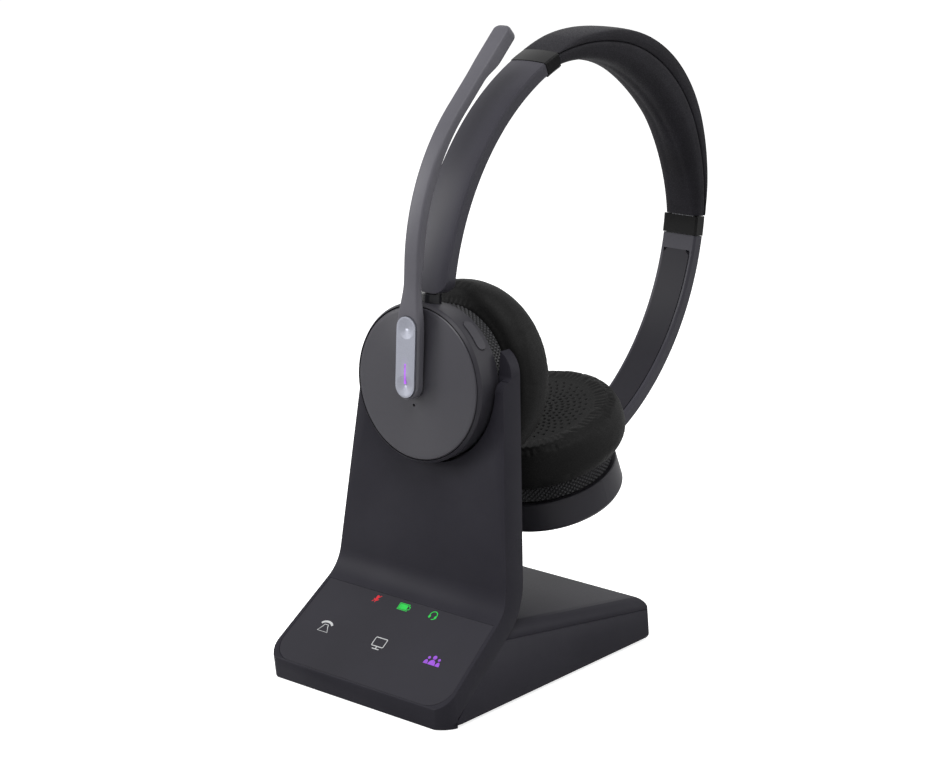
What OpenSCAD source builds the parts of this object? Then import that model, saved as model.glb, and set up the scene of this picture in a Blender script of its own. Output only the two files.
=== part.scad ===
// Wireless office headset on its charging stand, in millimetres.
// The origin is the middle of the stand's rubber foot, +Z is up, and the
// stand's sloped touch panel faces -Y.  The headset has its own frame, with
// its origin on top of the band; each ear cup has one, with +Z out of the cup.

/* [Stand] */
// Depth of the stand from lip to back
stand_d = 105; // [98:1:125]
// Width of the stand at its foot
stand_w = 76; // [73:1:95]
// Draft of the stand's sides, in degrees
side_draft = 5.45; // [4:0.05:5.8]
// Slope of the touch panel above level, in degrees
panel_slope = 35.5; // [32:0.5:38]
// Distance from the lip back to the knee where panel and neck meet
knee_y = 32.2; // [30:0.2:36]
// Height of the knee above the stand's bottom edge
knee_z = 28.5; // [27:0.5:31]
// Inside radius of the bend between panel and neck
knee_r = 12.5; // [8:0.5:13]
// Lean of the neck away from upright, in degrees
neck_lean = 5; // [3:0.5:6]
// Thickness of the neck
neck_t = 8.3; // [7.6:0.1:9]
// Thickness of the plate under the touch panel
lip_t = 6.5; // [5.5:0.1:7.5]
// Height at which the neck's front layer ends
shoulder_z = 98.6; // [97:0.2:101]
// Height of the top of the cradle's horns
horn_z = 108.2; // [105:0.2:110]
// Thickness of the wall that holds the cradle
wall_t = 4.2; // [3.4:0.1:4.5]
// Radius of the horns' outer corners
horn_r = 9; // [4:0.5:10]
// Height of the base's top where it runs under the neck
base_h = 23.9; // [22:0.1:26]
// Fall of the base's top towards the back, in degrees
base_fall = 8.2; // [6:0.1:9]
// Fillet along the base's top edges
base_fillet = 4.5; // [2:0.5:6]
// Wall of the base's housing
base_wall = 2.2; // [1.8:0.1:2.6]
// Thickness of the base's bottom plate
plate_t = 2; // [1.6:0.1:2.6]
// How far the rubber foot stands out below the base
foot_out = 1.2; // [0.8:0.1:2]
// Thickness of the touch panel
glass_t = 1.2; // [0.8:0.1:1.8]
// Rim of the shell left around the touch panel
glass_margin = 1.3; // [1:0.1:2.5]

/* [Docking] */
// Height of the docked cup's centre above the stand's bottom edge
dock_z = 95.1; // [94:0.1:96]
// Lean of the docked cup away from upright, in degrees
dock_lean = 2.5; // [1.5:0.5:3.5]
// Gap between the cup's waist and the cradle
cradle_gap = 0.4; // [0.3:0.1:0.8]
// Gap between the cup's rim and the pocket round it
pocket_gap = 0.6; // [0.4:0.1:1]
// Gap between the back of the rim and the cradle's wall
seat_gap = 0.5; // [0.3:0.1:0.8]

/* [Ear cups] */
// Largest radius of the cup's rim
cup_r = 25.2; // [24.6:0.1:26]
// Radius at the back of the cup's rim
rim_back_r = 24.5; // [24.2:0.1:24.9]
// Depth of the rim behind the cap's face
rim_d = 10.4; // [10.4:0.1:11]
// Radius of the cup's knurled waist
waist_r = 23.2; // [22.8:0.1:23.4]
// Depth of the waist between rim and cushion
waist_d = 6.2; // [6:0.1:6.6]
// Wall of the rim and the waist
cup_wall = 1.8; // [1.4:0.1:2.2]
// Radius of the cap
cap_r = 24; // [23:0.1:24.2]
// Rise of the cap's shallow cone
cap_rise = 1.4; // [0.8:0.1:2]
// Thickness of the cap
cap_t = 1.6; // [1.2:0.1:2]
// Largest radius of the ear cushion
cushion_r = 29.4; // [28.4:0.1:29.6]
// Thickness of the ear cushion
cushion_t = 14.4; // [13:0.1:14.6]
// Radius of the round pivot that carries the cup
pivot_r = 3.2; // [2.6:0.1:3.4]
// Depth of the pivot behind the cap's face
pivot_d = 6; // [5.8:0.1:6.2]
// Running clearance of pins in their bores
run_gap = 0.06; // [0.03:0.01:0.1]

/* [Headband] */
// Toe-in of each cup against the headset's plane, in degrees
cup_toe = 35; // [34:0.5:36]
// Half the distance between the cups' centres
cup_s = 42; // [41.6:0.1:43]
// Drop of the cups' centres below the top of the band
cup_drop = 145.7; // [145.2:0.1:146.2]
// Radius of the band's top arc
top_r = 55.5; // [55:0.1:56]
// Half angle of the band's top arc
top_a = 31.8; // [31:0.1:33]
// Radius of the band's side arcs
side_r = 76.7; // [76.3:0.1:77.2]
// Width of the arms
arm_w = 14; // [12.5:0.1:15]
// Thickness of the arms
arm_t = 5; // [4.8:0.1:5.6]
// Crown across the arms' outer face
arm_crown = 0.5; // [0.2:0.1:0.8]
// Angle where the end rings begin
ring_a = 57.2; // [56.5:0.1:58]
// Angle that the end rings cover
ring_span = 5.2; // [4.5:0.1:6]
// Thickness of the padded band in the middle
pad_mid_t = 15; // [12:0.1:16]
// Width of the padded band in the middle
pad_w = 17.2; // [16:0.1:20]
// Width of the slider strips
strip_w = 9; // [7:0.1:10]
// Thickness of the slider strips
strip_t = 1; // [0.8:0.1:1.2]
// Travel of each slider
slide_l = 15; // [8:0.5:15]

/* [Microphone boom] */
// Width of the boom
boom_w = 6; // [5:0.1:6.6]
// Thickness of the boom
boom_t = 3.4; // [2.8:0.1:3.8]
// Distance from the cup's axis to where the boom starts to bend
bend_from = 38; // [36:0.5:42]
// Radius of the boom's bend
bend_r = 68; // [60:0.5:76]
// Angle of the boom's bend
bend_a = 43.3; // [38:0.1:46]
// Length of the straight tip after the bend
tip_l = 33; // [26:0.5:36]
// Length of the thicker microphone housing at the tip
mic_l = 19; // [14:0.5:22]
// Height of the boom's front above the edge of the cap
boom_z = 4.2; // [4:0.1:4.8]
// Width of the call button
pill_w = 7.6; // [6.8:0.1:8]
// Length of the call button
pill_l = 25.4; // [22:0.2:26]
// Distance from the cup's axis to the call button's lower end
pill_low = 3.6; // [3:0.1:4.5]
// Height of the call button's top above the edge of the cap
pill_z = 5.6; // [5.4:0.1:6]
// Travel of the call button
pill_travel = 0.35; // [0.2:0.05:0.4]
// Travel of the rim's oblong button
rim_travel = 0.4; // [0.2:0.05:0.5]

/* [Hidden] */
$fn = 96;
eps = 0.01;
far = 400;
fit_gap = 0.1;
corner_steps = 8;

// ---- plane helpers ----

// Unit vector of a vector.
function unit(v) = v / norm(v);
// Left-hand normal of a vector.
function left(v) = [-v[1], v[0]];
// Cross product of two plane vectors.
function cross2(a, b) = a[0] * b[1] - a[1] * b[0];
// Where the line through p along u meets the line through q along v.
function meet(p, u, q, v) = p + u * cross2(q - p, v) / cross2(u, v);
// The arc that rounds corner b, between a and c, to radius r.
function corner(a, b, c, r) =
    r <= 0 ? [b] :
    let (u = unit(a - b), v = unit(c - b),
         half = acos(max(-1, min(1, u * v))) / 2,
         mid = b + unit(u + v) * r / sin(half),
         p = b + u * r / tan(half) - mid,
         q = b + v * r / tan(half) - mid,
         turn = atan2(cross2(p, q), p * q))
    [for (i = [0 : corner_steps])
        let (t = turn * i / corner_steps)
        mid + [p[0] * cos(t) - p[1] * sin(t), p[0] * sin(t) + p[1] * cos(t)]];
// An outline with its own radius at every corner.
function rounded(pts, radii) =
    let (n = len(pts))
    [for (i = [0 : n - 1])
        each corner(pts[(i + n - 1) % n], pts[i], pts[(i + 1) % n], radii[i])];
// The corners of an anticlockwise outline moved inwards by d.
function inset(pts, d) =
    let (n = len(pts))
    [for (i = [0 : n - 1])
        let (a = pts[(i + n - 1) % n], b = pts[i], c = pts[(i + 1) % n],
             u = unit(b - a), v = unit(c - b))
        meet(b + left(u) * d, u, b + left(v) * d, v)];
// A box outline of width w and height h, centred, with round corners.
function plaque(w, h, r) =
    rounded([[-w / 2, -h / 2], [w / 2, -h / 2], [w / 2, h / 2], [-w / 2, h / 2]],
            [r, r, r, r]);

// Turns an outline drawn in (Y, Z) into a solid w wide across X.
module across(w) {
    rotate([90, 0, 90])
        linear_extrude(w, center = true)
            children();
}

// Sweeps a section round centre c in the (Y, Z) plane, from angle a0 to a1
// measured from +Z towards +Y.  The section is drawn with x out from c.
module arc_sweep(c, a0, a1) {
    translate([0, c[0], c[1]])
        rotate([90, 0, 90])
            rotate([0, 0, 90 - a1])
                rotate_extrude(angle = a1 - a0, $fn = 180)
                    children();
}

// ---- stand ----

neck_dir = [sin(neck_lean), cos(neck_lean)];
neck_back = [cos(neck_lean), -sin(neck_lean)];
panel_dir = [cos(panel_slope), sin(panel_slope)];
panel_under = [sin(panel_slope), -cos(panel_slope)];
lip_y = -stand_d / 2;
knee = [lip_y + knee_y, foot_out + knee_z];
panel_l = knee_y / cos(panel_slope);
lip_top = knee - panel_dir * panel_l;
lip_low = lip_top + panel_under * lip_t;
shoulder = knee + neck_dir * (shoulder_z - knee_z) / cos(neck_lean);
step_in = shoulder + neck_back * (neck_t - wall_t);
horn_front = step_in + neck_dir * (horn_z - shoulder_z) / cos(neck_lean);
horn_back = horn_front + neck_back * wall_t;
knee_back = meet(horn_back, neck_dir, lip_low, panel_dir);
knee_back_r = knee_r + neck_t;
shoulder_r = 3.6;
edge_r = 0.6;
lip_r = 0.9;
SHELL = rounded(
    [lip_top, knee, shoulder, step_in, horn_front, horn_back, knee_back, lip_low],
    [lip_r, knee_r, shoulder_r, 1.4, edge_r, edge_r, knee_back_r, lip_r]);

// Half the stand's width at height z.
function half_w(z) = stand_w / 2 - (z - foot_out) * tan(side_draft);

// The stand's drafted outline from the front, inset by gap on both sides.
function front_view(gap, top, r) =
    rounded([[-half_w(foot_out) + gap, foot_out - eps],
             [half_w(foot_out) - gap, foot_out - eps],
             [half_w(top) - gap, top],
             [-half_w(top) + gap, top]],
            [0, 0, r, r]);

module drafted(gap, top, r) {
    rotate([90, 0, 0])
        linear_extrude(far, center = true)
            polygon(front_view(gap, top, r));
}

// The docked cup's frame, and the row of cuts that seat the cup in the neck.
wall_front_y = step_in[0] + (foot_out + dock_z - step_in[1]) * tan(neck_lean);
dock = [0, wall_front_y - seat_gap - rim_d, foot_out + dock_z];
horn_top = horn_front[1];

module at_dock() {
    translate(dock)
        rotate([90 - dock_lean, 0, 0])
            children();
}

// A slot open at the top, with a round bottom, cut along the cup's axis.
module cradle_cut(r, z0, z1) {
    translate([0, 0, z0]) {
        cylinder(r = r, h = z1 - z0);
        translate([-r, 0, 0])
            cube([2 * r, far / 2, z1 - z0]);
    }
}

// The panel's own frame: origin on the lip's top corner, +Y up the slope.
module on_panel() {
    translate([0, lip_top[0], lip_top[1]])
        rotate([panel_slope, 0, 0])
            children();
}
glass_low = 0.9;
glass_top = panel_l - knee_r * tan((90 - neck_lean - panel_slope) / 2) - 0.3;
glass_r = 7.5;
function glass_half(y) = half_w(lip_top[1] + y * sin(panel_slope)) - glass_margin;
function glass_outline(gap) =
    rounded([[-glass_half(glass_low) - gap, glass_low - gap],
             [glass_half(glass_low) + gap, glass_low - gap],
             [glass_half(glass_top) + gap, glass_top + gap],
             [-glass_half(glass_top) - gap, glass_top + gap]],
            [glass_r, glass_r, 0.3, 0.3]);
glass_sink = 0.05;

pin_r = 0.8;
pin_pitch = 4;
pin_l = 3.4;
pin_d = rim_d + waist_d / 2;
module at_pins() {
    at_dock()
        for (i = [-1, 1])
            translate([i * pin_pitch / 2, -waist_r - cradle_gap + 0.25, -pin_d])
                rotate([90, 0, 0])
                    children();
}
magnet_r = 4;
magnet_t = 2.4;
magnet_drop = waist_r + cradle_gap + 8.5;
module at_magnet() {
    at_dock()
        translate([0, -magnet_drop, -rim_d - 2])
            children();
}

// Bent plate that is panel, neck and cradle in one moulding.
module front_shell() {
    color("#3b3a3f")
        difference() {
            intersection() {
                across(far)
                    polygon(SHELL);
                drafted(0, horn_top, horn_r);
            }
            on_panel()
                translate([0, 0, -glass_t - glass_sink])
                    linear_extrude(glass_t + 5)
                        polygon(glass_outline(fit_gap));
            at_dock() {
                cradle_cut(waist_r + cradle_gap, -rim_d - waist_d - 12, 0);
                cradle_cut(cup_r + pocket_gap, -rim_d - seat_gap, 8);
            }
            at_pins()
                cylinder(r = pin_r + run_gap, h = pin_l + fit_gap, $fn = 32);
            at_magnet()
                translate([0, 0, -fit_gap])
                    cylinder(r = magnet_r + run_gap, h = magnet_t + 2 * fit_gap);
        }
}

// Glass touch panel, flush in the sloped plate.
module touch_panel() {
    color("#2c2b30")
        on_panel()
            translate([0, 0, -glass_t - glass_sink])
                linear_extrude(glass_t)
                    polygon(glass_outline(0));
}

// Side outline of the base block, before the bent plate is taken away.
base_top_dir = [cos(base_fall), -sin(base_fall)];
base_front_top = [knee[0], foot_out + base_h];
base_back_y = stand_d / 2;
base_back_top = meet(base_front_top, base_top_dir, [base_back_y, 0], [0, 1]);
BASE = [[lip_low[0] + 1, foot_out], [base_back_y, foot_out], base_back_top,
        base_front_top];
base_back_r = 6.5;
base_low_r = 3;

// Cutter that rounds one straight top edge of the base.
module edge_round() {
    run = base_back_top - base_front_top;
    z0 = base_front_top[1];
    z1 = base_back_top[1];
    start = [half_w(z0), base_front_top[0], z0];
    stop = [half_w(z1), base_back_top[0], z1];
    dir = stop - start;
    yaw = atan2(dir[0], dir[1]);
    pitch = atan2(dir[2], norm([dir[0], dir[1]]));
    translate(start)
        rotate([0, 0, -yaw])
            rotate([pitch, 0, 0])
                rotate([90, 0, 0])
                    translate([0, 0, -norm(dir) - 20])
                        linear_extrude(norm(dir) + 40)
                            difference() {
                                translate([-base_fillet, -base_fillet])
                                    square(3 * base_fillet);
                                translate([-base_fillet, -base_fillet])
                                    circle(r = base_fillet);
                                translate([-4 * base_fillet, -4 * base_fillet])
                                    square([3 * base_fillet, 8 * base_fillet]);
                            }
}

screw_side_in = 11;
screw_front_in = 33;
screw_back_in = 12;
screw_x = stand_w / 2 - screw_side_in;
screw_front = lip_y + screw_front_in;
screw_back = base_back_y - screw_back_in;
screw_r = 1.3;
head_r = 2.4;
head_t = 1.4;
screw_l = 8;
boss_r = 3.1;
module at_screws() {
    for (x = [-1, 1])
        for (y = [screw_front, screw_back])
            translate([x * screw_x, y, foot_out])
                children();
}

inlet_w = 9;
inlet_h = 3.3;
inlet_d = 7.5;
inlet_z = foot_out + 7.2;
plate_gap = 0.15;
room_half = half_w(foot_out + base_h) - base_wall;
cavity_top = inset(BASE, base_wall);

// Wedge-shaped housing behind and under the bent plate.
module base_housing() {
    color("#38373c")
        difference() {
            union() {
                difference() {
                    intersection() {
                        across(far)
                            difference() {
                                polygon(rounded(BASE, [0, base_low_r, base_back_r, 0]));
                                polygon(SHELL);
                            }
                        drafted(0, horn_top, horn_r);
                    }
                    edge_round();
                    mirror([1, 0, 0])
                        edge_round();
                    difference() {
                        base_room();
                        screw_bosses();
                    }
                }
            }
            at_screws()
                translate([0, 0, -1])
                    cylinder(r = screw_r + run_gap, h = 1 + head_t + screw_l + fit_gap, $fn = 32);
            translate([0, base_back_y, inlet_z])
                rotate([90, 0, 0])
                    linear_extrude(inlet_d * 2, center = true)
                        polygon(plaque(inlet_w + 2 * fit_gap, inlet_h + 2 * fit_gap,
                                       inlet_h / 2));
        }
}

room_in = 16;
room_front = lip_low[0] + room_in;
// Room inside the base, open at the bottom.
module base_room() {
    intersection() {
        across(far)
            difference() {
                polygon([[room_front, -1], [cavity_top[1][0], -1],
                         [cavity_top[2][0], cavity_top[2][1] - 3],
                         [cavity_top[2][0] - 3, cavity_top[2][1]],
                         [cavity_top[3][0], cavity_top[3][1]],
                         [room_front, foot_out + 7]]);
                translate(neck_back * base_wall + panel_under * base_wall)
                    polygon(SHELL);
            }
        cube([2 * room_half, far, far], center = true);
    }
}

module screw_bosses() {
    at_screws()
        translate([0, 0, plate_t + plate_gap])
            cylinder(r = boss_r, h = far / 8, $fn = 48);
}

plate_front = room_front + plate_gap;
plate_back = cavity_top[1][0] - plate_gap;
plate_half = room_half - plate_gap;
foot_in = 0.6;
foot_margin = 5;
foot_half = screw_x - head_r - 0.8;
FOOT = [[-foot_half, plate_front + foot_margin],
        [foot_half, plate_front + foot_margin],
        [foot_half, plate_back - foot_margin],
        [-foot_half, plate_back - foot_margin]];

// Plate that closes the base from below.
module base_plate() {
    color("#1f1f22")
        difference() {
            translate([0, 0, foot_out])
                linear_extrude(plate_t)
                    polygon(rounded([[-plate_half, plate_front], [plate_half, plate_front],
                                     [plate_half, plate_back], [-plate_half, plate_back]],
                                    [2, 2, 2, 2]));
            translate([0, 0, foot_out - 1])
                linear_extrude(1 + foot_in)
                    polygon(rounded(inset(FOOT, -fit_gap), [6, 6, 6, 6]));
            at_screws() {
                translate([0, 0, -1])
                    cylinder(r = screw_r + 0.2, h = plate_t + 2, $fn = 32);
                translate([0, 0, -1])
                    cylinder(r = head_r + 0.2, h = 1 + head_t, $fn = 48);
            }
        }
}

// Broad rubber foot with shallow rows that grip the desk.
module foot_pad() {
    groove_pitch = 9;
    groove_n = floor((FOOT[2][1] - FOOT[1][1] - 16) / groove_pitch);
    color("#141415")
        difference() {
            linear_extrude(foot_out + foot_in)
                polygon(rounded(FOOT, [6, 6, 6, 6]));
            for (i = [0 : groove_n])
                translate([0, FOOT[1][1] + 8 + i * groove_pitch, 0])
                    cube([plate_half, 1, 0.8], center = true);
        }
}

// Four self-tapping screws that hold the bottom plate.
module base_screws() {
    color("#8c8d92")
        at_screws()
            difference() {
                union() {
                    cylinder(r = head_r, h = head_t - eps, $fn = 48);
                    cylinder(r = screw_r, h = head_t + screw_l, $fn = 32);
                }
                translate([0, 0, -eps])
                    cylinder(r = 0.9, h = 0.8, $fn = 6);
            }
}

ballast_l = 30;
ballast_w = 2 * (screw_x - 8);
ballast_h = 6.5;
ballast_y = (screw_front + screw_back) / 2 - 2;
// Steel weight that keeps the loaded stand from tipping back.
module ballast() {
    color("#77787c")
        translate([0, ballast_y, foot_out + plate_t])
            linear_extrude(ballast_h)
                polygon(plaque(ballast_w, ballast_l, 2));
}

board_t = 1.2;
board_w = 2 * (screw_x - boss_r - 0.9);
board_l = 22;
// Main board of the base, behind the weight, with its power socket.
module base_board() {
    color("#1f5a3c")
        translate([0, base_back_y - base_wall - board_l / 2 - 0.4,
                   inlet_z - inlet_h / 2 - board_t - 0.2])
            linear_extrude(board_t)
                polygon(plaque(board_w, board_l, 1));
}

// Socket for the power and data lead.
module power_inlet() {
    color("#9a9ba0")
        translate([0, base_back_y - 0.3, inlet_z])
            rotate([90, 0, 0])
                difference() {
                    linear_extrude(inlet_d)
                        polygon(plaque(inlet_w, inlet_h, inlet_h / 2));
                    translate([0, 0, -1])
                        linear_extrude(inlet_d - 0.5)
                            polygon(plaque(inlet_w - 0.7, inlet_h - 0.7, inlet_h / 2 - 0.35));
                }
}

// Two spring pins at the bottom of the cradle that charge the headset.
module charge_pins() {
    color("#c9a44c")
        at_pins()
            cylinder(r = pin_r, h = pin_l, $fn = 32);
}

// Magnet that pulls the cup into the cradle.
module dock_magnet() {
    color("#a7a9ad")
        at_magnet()
            cylinder(r = magnet_r, h = magnet_t);
}

// ---- ear cups, each in its own frame: +Z out of the cup, +Y to its pivot ----

cap_edge = 0.9;
groove = 0.35;
rim_front_r = cap_r + groove;
inner_r = rim_back_r - cup_wall;
cap_seat = cap_t + 0.4;
waist_in_r = waist_r - cup_wall;
socket_r = 4.3;
socket_in = 17.2;
flange_in = 15.4;
bolt_r = 4;
bolt_bore_r = bolt_r + run_gap;

// Face of the cup: a shallow cone inside a fine groove.
module cap(bored) {
    difference() {
        rotate_extrude($fn = 180)
            polygon([[0, -cap_t], [cap_r - 0.6, -cap_t], [cap_r, -cap_t + 0.6],
                     [cap_r, -0.3], [cap_r - 0.3, 0], [cap_r - 1.2, 0.12],
                     [1.5, cap_rise - 0.05], [0, cap_rise]]);
        if (bored) {
            translate([0, 0, -cap_t - 1])
                cylinder(r = bolt_bore_r, h = cap_t + cap_rise + 2);
            translate([0, -pill_low - 3.1, -cap_t - 1])
                cylinder(r = 0.45, h = cap_t + cap_rise + 2, $fn = 24);
        }
    }
}

// Bowl of the cup with its bevelled front edge and the pivot's socket.
module rim(buttoned) {
    difference() {
        union() {
            rotate_extrude($fn = 180)
                polygon([[inner_r, -rim_d], [rim_back_r - 0.3, -rim_d],
                         [rim_back_r, -rim_d + 0.3], [cup_r, -cap_edge - 0.5],
                         [cup_r - 0.1, -cap_edge - 0.2],
                         [rim_front_r + 0.1, -0.15], [rim_front_r, -0.3],
                         [rim_front_r, -cap_seat], [inner_r - 1.6, -cap_seat],
                         [inner_r - 1.6, -cap_seat - 1.2], [inner_r, -cap_seat - 1.2]]);
            intersection() {
                translate([0, socket_in, -pivot_d])
                    rotate([-90, 0, 0])
                        cylinder(r = socket_r, h = inner_r - socket_in + 0.8, $fn = 64);
                translate([0, 0, -rim_d])
                    cylinder(r = inner_r + 0.9, h = rim_d - cap_seat);
            }
        }
        translate([0, 0, -pivot_d])
            rotate([-90, 0, 0])
                cylinder(r = pivot_r + run_gap, h = cup_r + 5, $fn = 64);
        if (buttoned) {
            rim_button_place(-cup_wall - 1)
                linear_extrude(far / 8)
                    polygon(plaque(key_l + 2 * key_gap, key_w + 2 * key_gap,
                                   key_w / 2 + key_gap));
            rotate([0, 0, 180])
                translate([0, inner_r - 3, -rim_d + 4])
                    rotate([-90, 0, 0])
                        linear_extrude(8)
                            polygon(plaque(port_w, port_h, port_h / 2));
        }
    }
}
port_w = 9;
port_h = 3.2;

// Oblong button let into the rim.
key_a = 46;
key_l = 10.6;
key_w = 3.8;
key_gap = 0.15;
key_out = 0.45;
key_d = 5.8;
key_seat_r = rim_back_r + (cup_r - rim_back_r) * (rim_d - key_d) / rim_d;
module rim_button_place(sink) {
    rotate([0, 0, -key_a])
        translate([0, key_seat_r + sink, -key_d])
            rotate([-90, 0, 0])
                children();
}
module rim_button_shape() {
    intersection() {
        rim_button_place(-cup_wall - 0.2)
            linear_extrude(far / 8)
                polygon(plaque(key_l, key_w, key_w / 2 - 0.05));
        difference() {
            translate([0, 0, -rim_d])
                cylinder(r = key_seat_r + key_out, h = rim_d, $fn = 180);
            translate([0, 0, -rim_d - 1])
                cylinder(r = key_seat_r - 0.85, h = rim_d + 2, $fn = 180);
        }
    }
}

// Knurled waist behind the rim.
rib_n = 72;
rib_h = 0.35;
module waist(contacts) {
    z0 = -rim_d - waist_d;
    difference() {
        translate([0, 0, z0])
            cylinder(r = waist_r, h = waist_d - eps, $fn = 180);
        translate([0, 0, z0 - 1])
            cylinder(r = waist_in_r, h = waist_d + 2, $fn = 180);
        for (i = [0 : rib_n - 1])
            rotate([0, 0, i * 360 / rib_n])
                translate([waist_r, 0, z0 + 0.8])
                    rotate([0, 0, 45])
                        translate([-rib_h, -rib_h, 0])
                            cube([2 * rib_h, 2 * rib_h, waist_d - 1.6]);
        if (contacts)
            pad_cut();
    }
}
pad_pocket = 0.6;
module pad_cut() {
    for (i = [-1, 1])
        translate([i * pin_pitch / 2, -waist_r + pad_pocket, -pin_d])
            rotate([90, 0, 0])
                cylinder(r = 1.2 + fit_gap, h = 2, $fn = 32);
}
module pad_shape() {
    for (i = [-1, 1])
        translate([i * pin_pitch / 2, -waist_r + pad_pocket, -pin_d])
            rotate([90, 0, 0])
                cylinder(r = 1.2, h = pad_pocket - 0.1, $fn = 32);
}

// Plate at the back of the waist that carries the loudspeaker and cushion.
baffle_t = 2;
driver_r = 15;
grille_n = 6;
module baffle() {
    z0 = -rim_d - waist_d;
    difference() {
        translate([0, 0, z0])
            cylinder(r = waist_in_r - fit_gap, h = baffle_t);
        for (k = [1 : 2])
            for (i = [0 : grille_n * k - 1])
                rotate([0, 0, i * 360 / (grille_n * k)])
                    translate([5 * k, 0, z0 - 1])
                        cylinder(r = 1.3, h = baffle_t + 2, $fn = 32);
        translate([0, 0, z0 - 1])
            cylinder(r = 1.3, h = baffle_t + 2, $fn = 32);
    }
}
module driver() {
    z0 = -rim_d - waist_d + baffle_t;
    translate([0, 0, z0])
        difference() {
            rotate_extrude()
                polygon([[0, 1.2], [driver_r - 3, 0.4], [driver_r - 2, 0], [driver_r, 0],
                         [driver_r, 1.6], [9, 3.6], [9, 4.6], [0, 4.6]]);
            translate([0, 0, 3.4])
                cylinder(r = 2, h = 3, $fn = 32);
        }
}

// Soft leatherette cushion, full round, with a flat perforated face.
cushion_back = -rim_d - waist_d - 0.3;
module cushion() {
    z = cushion_back;
    t = cushion_t;
    r = cushion_r;
    rotate_extrude($fn = 120)
        polygon(concat(
            rounded([[0, z], [waist_r + 1.2, z], [r, z - 2.6], [r, z - t * 0.62],
                     [r - 4.4, z - t], [r - 7.5, z - t + 0.5], [0, z - t + 0.9]],
                    [0, 0.8, 3.5, 6, 1.8, 1.2, 0])));
}

// Round pivot with a flat tang above and a flange inside the cup.
post_top = cup_r + 2.4;
tang_l = 8;
tang_w = 4.8;
tang_t = 2.2;
tang_in = 1;
module pivot() {
    translate([0, 0, -pivot_d])
        rotate([-90, 0, 0]) {
            translate([0, 0, flange_in])
                cylinder(r = socket_r - 0.2, h = socket_in - flange_in - 0.15, $fn = 64);
            translate([0, 0, flange_in])
                cylinder(r = pivot_r, h = post_top - flange_in, $fn = 64);
        }
}

// ---- boom, in the docked cup's frame ----

face_gap = 0.3;
hub_w = pill_w + 1.6;
hub_low = pill_low + 0.8;
hub_top = pill_z - 0.6;
pill_up = pill_l - pill_low;
hub_up = pill_up + 4.5;
bend_c = [bend_from, boom_z - bend_r];
hub_base = cap_rise + face_gap;
pocket_z = pill_z - 2.1;

// A flat oblong from y0 to y1 with round ends, w wide.
module oblong(w, y0, y1, h) {
    linear_extrude(h)
        polygon(rounded([[-w / 2, y0], [w / 2, y0], [w / 2, y1], [-w / 2, y1]],
                        [w / 2 - 0.01, w / 2 - 0.01, w / 2 - 0.01, w / 2 - 0.01]));
}

// A stretch of one piece runs this far into the next, this much slimmer.
seam_lap = 0.4;
seam_step = 0.02;
function boom_section(w, t) =
    [for (p = plaque(t, w, t * 0.32)) p + [bend_r - t / 2, 0]];

module boom_straight(w, t, length, top) {
    rotate([-90, 0, 0])
        translate([0, t / 2 - top, 0])
            linear_extrude(length)
                polygon(plaque(w, t, t * 0.32));
}

// Everything past the bend, in a frame at the bend's end with +Y to the tip.
module past_bend() {
    translate([0, bend_c[0], bend_c[1]])
        rotate([-bend_a, 0, 0])
            translate([0, 0, bend_r])
                children();
}

seam_y = 34;
hub_flare = 3;
// Foot of the boom: a smooth oblong that blends into the arm.
module boom_hub() {
    color("#5b5a60")
        difference() {
            union() {
                translate([0, 0, hub_base])
                    oblong(hub_w, -hub_low, hub_up, hub_top - hub_base);
                translate([0, hub_up - 6, 0])
                    boom_straight(boom_w, boom_z - hub_base, seam_y - hub_up + 6, boom_z);
                hull()
                    for (s = [0, 1])
                        translate([0, hub_up - 4 + s * 5, hub_base])
                            linear_extrude(hub_top - hub_base - s * (hub_top - boom_z) - 0.02)
                                square([boom_w + (1 - s) * hub_flare * 0.8, 2], center = true);
            }
            translate([0, 0, pocket_z])
                oblong(pill_w + 2 * key_gap, -pill_low - key_gap, pill_up + key_gap, 10);
            translate([0, 0, 0])
                cylinder(r = bolt_r - 0.6 + run_gap, h = pocket_z - 0.6, $fn = 48);
        }
}

// Slim arm of the boom, bent back towards the band.
module boom_arm() {
    color("#5b5a60")
        union() {
            translate([0, seam_y, 0])
                boom_straight(boom_w - 2 * seam_step, boom_t - 2 * seam_step,
                              bend_from - seam_y + seam_lap, boom_z - seam_step);
            arc_sweep(bend_c, 0, bend_a)
                polygon(boom_section(boom_w, boom_t));
            past_bend()
                translate([0, -seam_lap, 0])
                    boom_straight(boom_w - 2 * seam_step, boom_t - 2 * seam_step,
                                  tip_l - mic_l + seam_lap, -seam_step);
        }
}

mic_t = boom_t + 1.5;
slot_w = 1.4;
slot_l = 11;
// Thicker housing at the tip, with the microphone's slot on both sides.
module mic_housing() {
    color("#5b5a60")
        past_bend()
            translate([0, tip_l - mic_l, 0])
                difference() {
                    across(boom_w + 0.5)
                        polygon(rounded([[0, -boom_t], [5, -mic_t], [mic_l, -mic_t],
                                         [mic_l, 0], [0, 0]],
                                        [0, 3, 1.4, 1.4, 0]));
                    translate([0, mic_l - 2.4 - slot_l / 2, -mic_t / 2])
                        rotate([0, 90, 0])
                            linear_extrude(far / 8, center = true)
                                polygon(plaque(slot_w, slot_l, slot_w / 2 - 0.01));
                    translate([0, mic_l - 7.5, -mic_t / 2])
                        cube([4.2 + 2 * fit_gap, 4 + 2 * fit_gap, 2.2 + 2 * fit_gap],
                             center = true);
                }
}
// Microphone capsule inside the tip.
module mic_capsule() {
    color("#b9b38e")
        past_bend()
            translate([0, tip_l - 7.5, -mic_t / 2])
                cube([4.2, 4, 2.2], center = true);
}

shaft_low = cap_t + 3;
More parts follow.
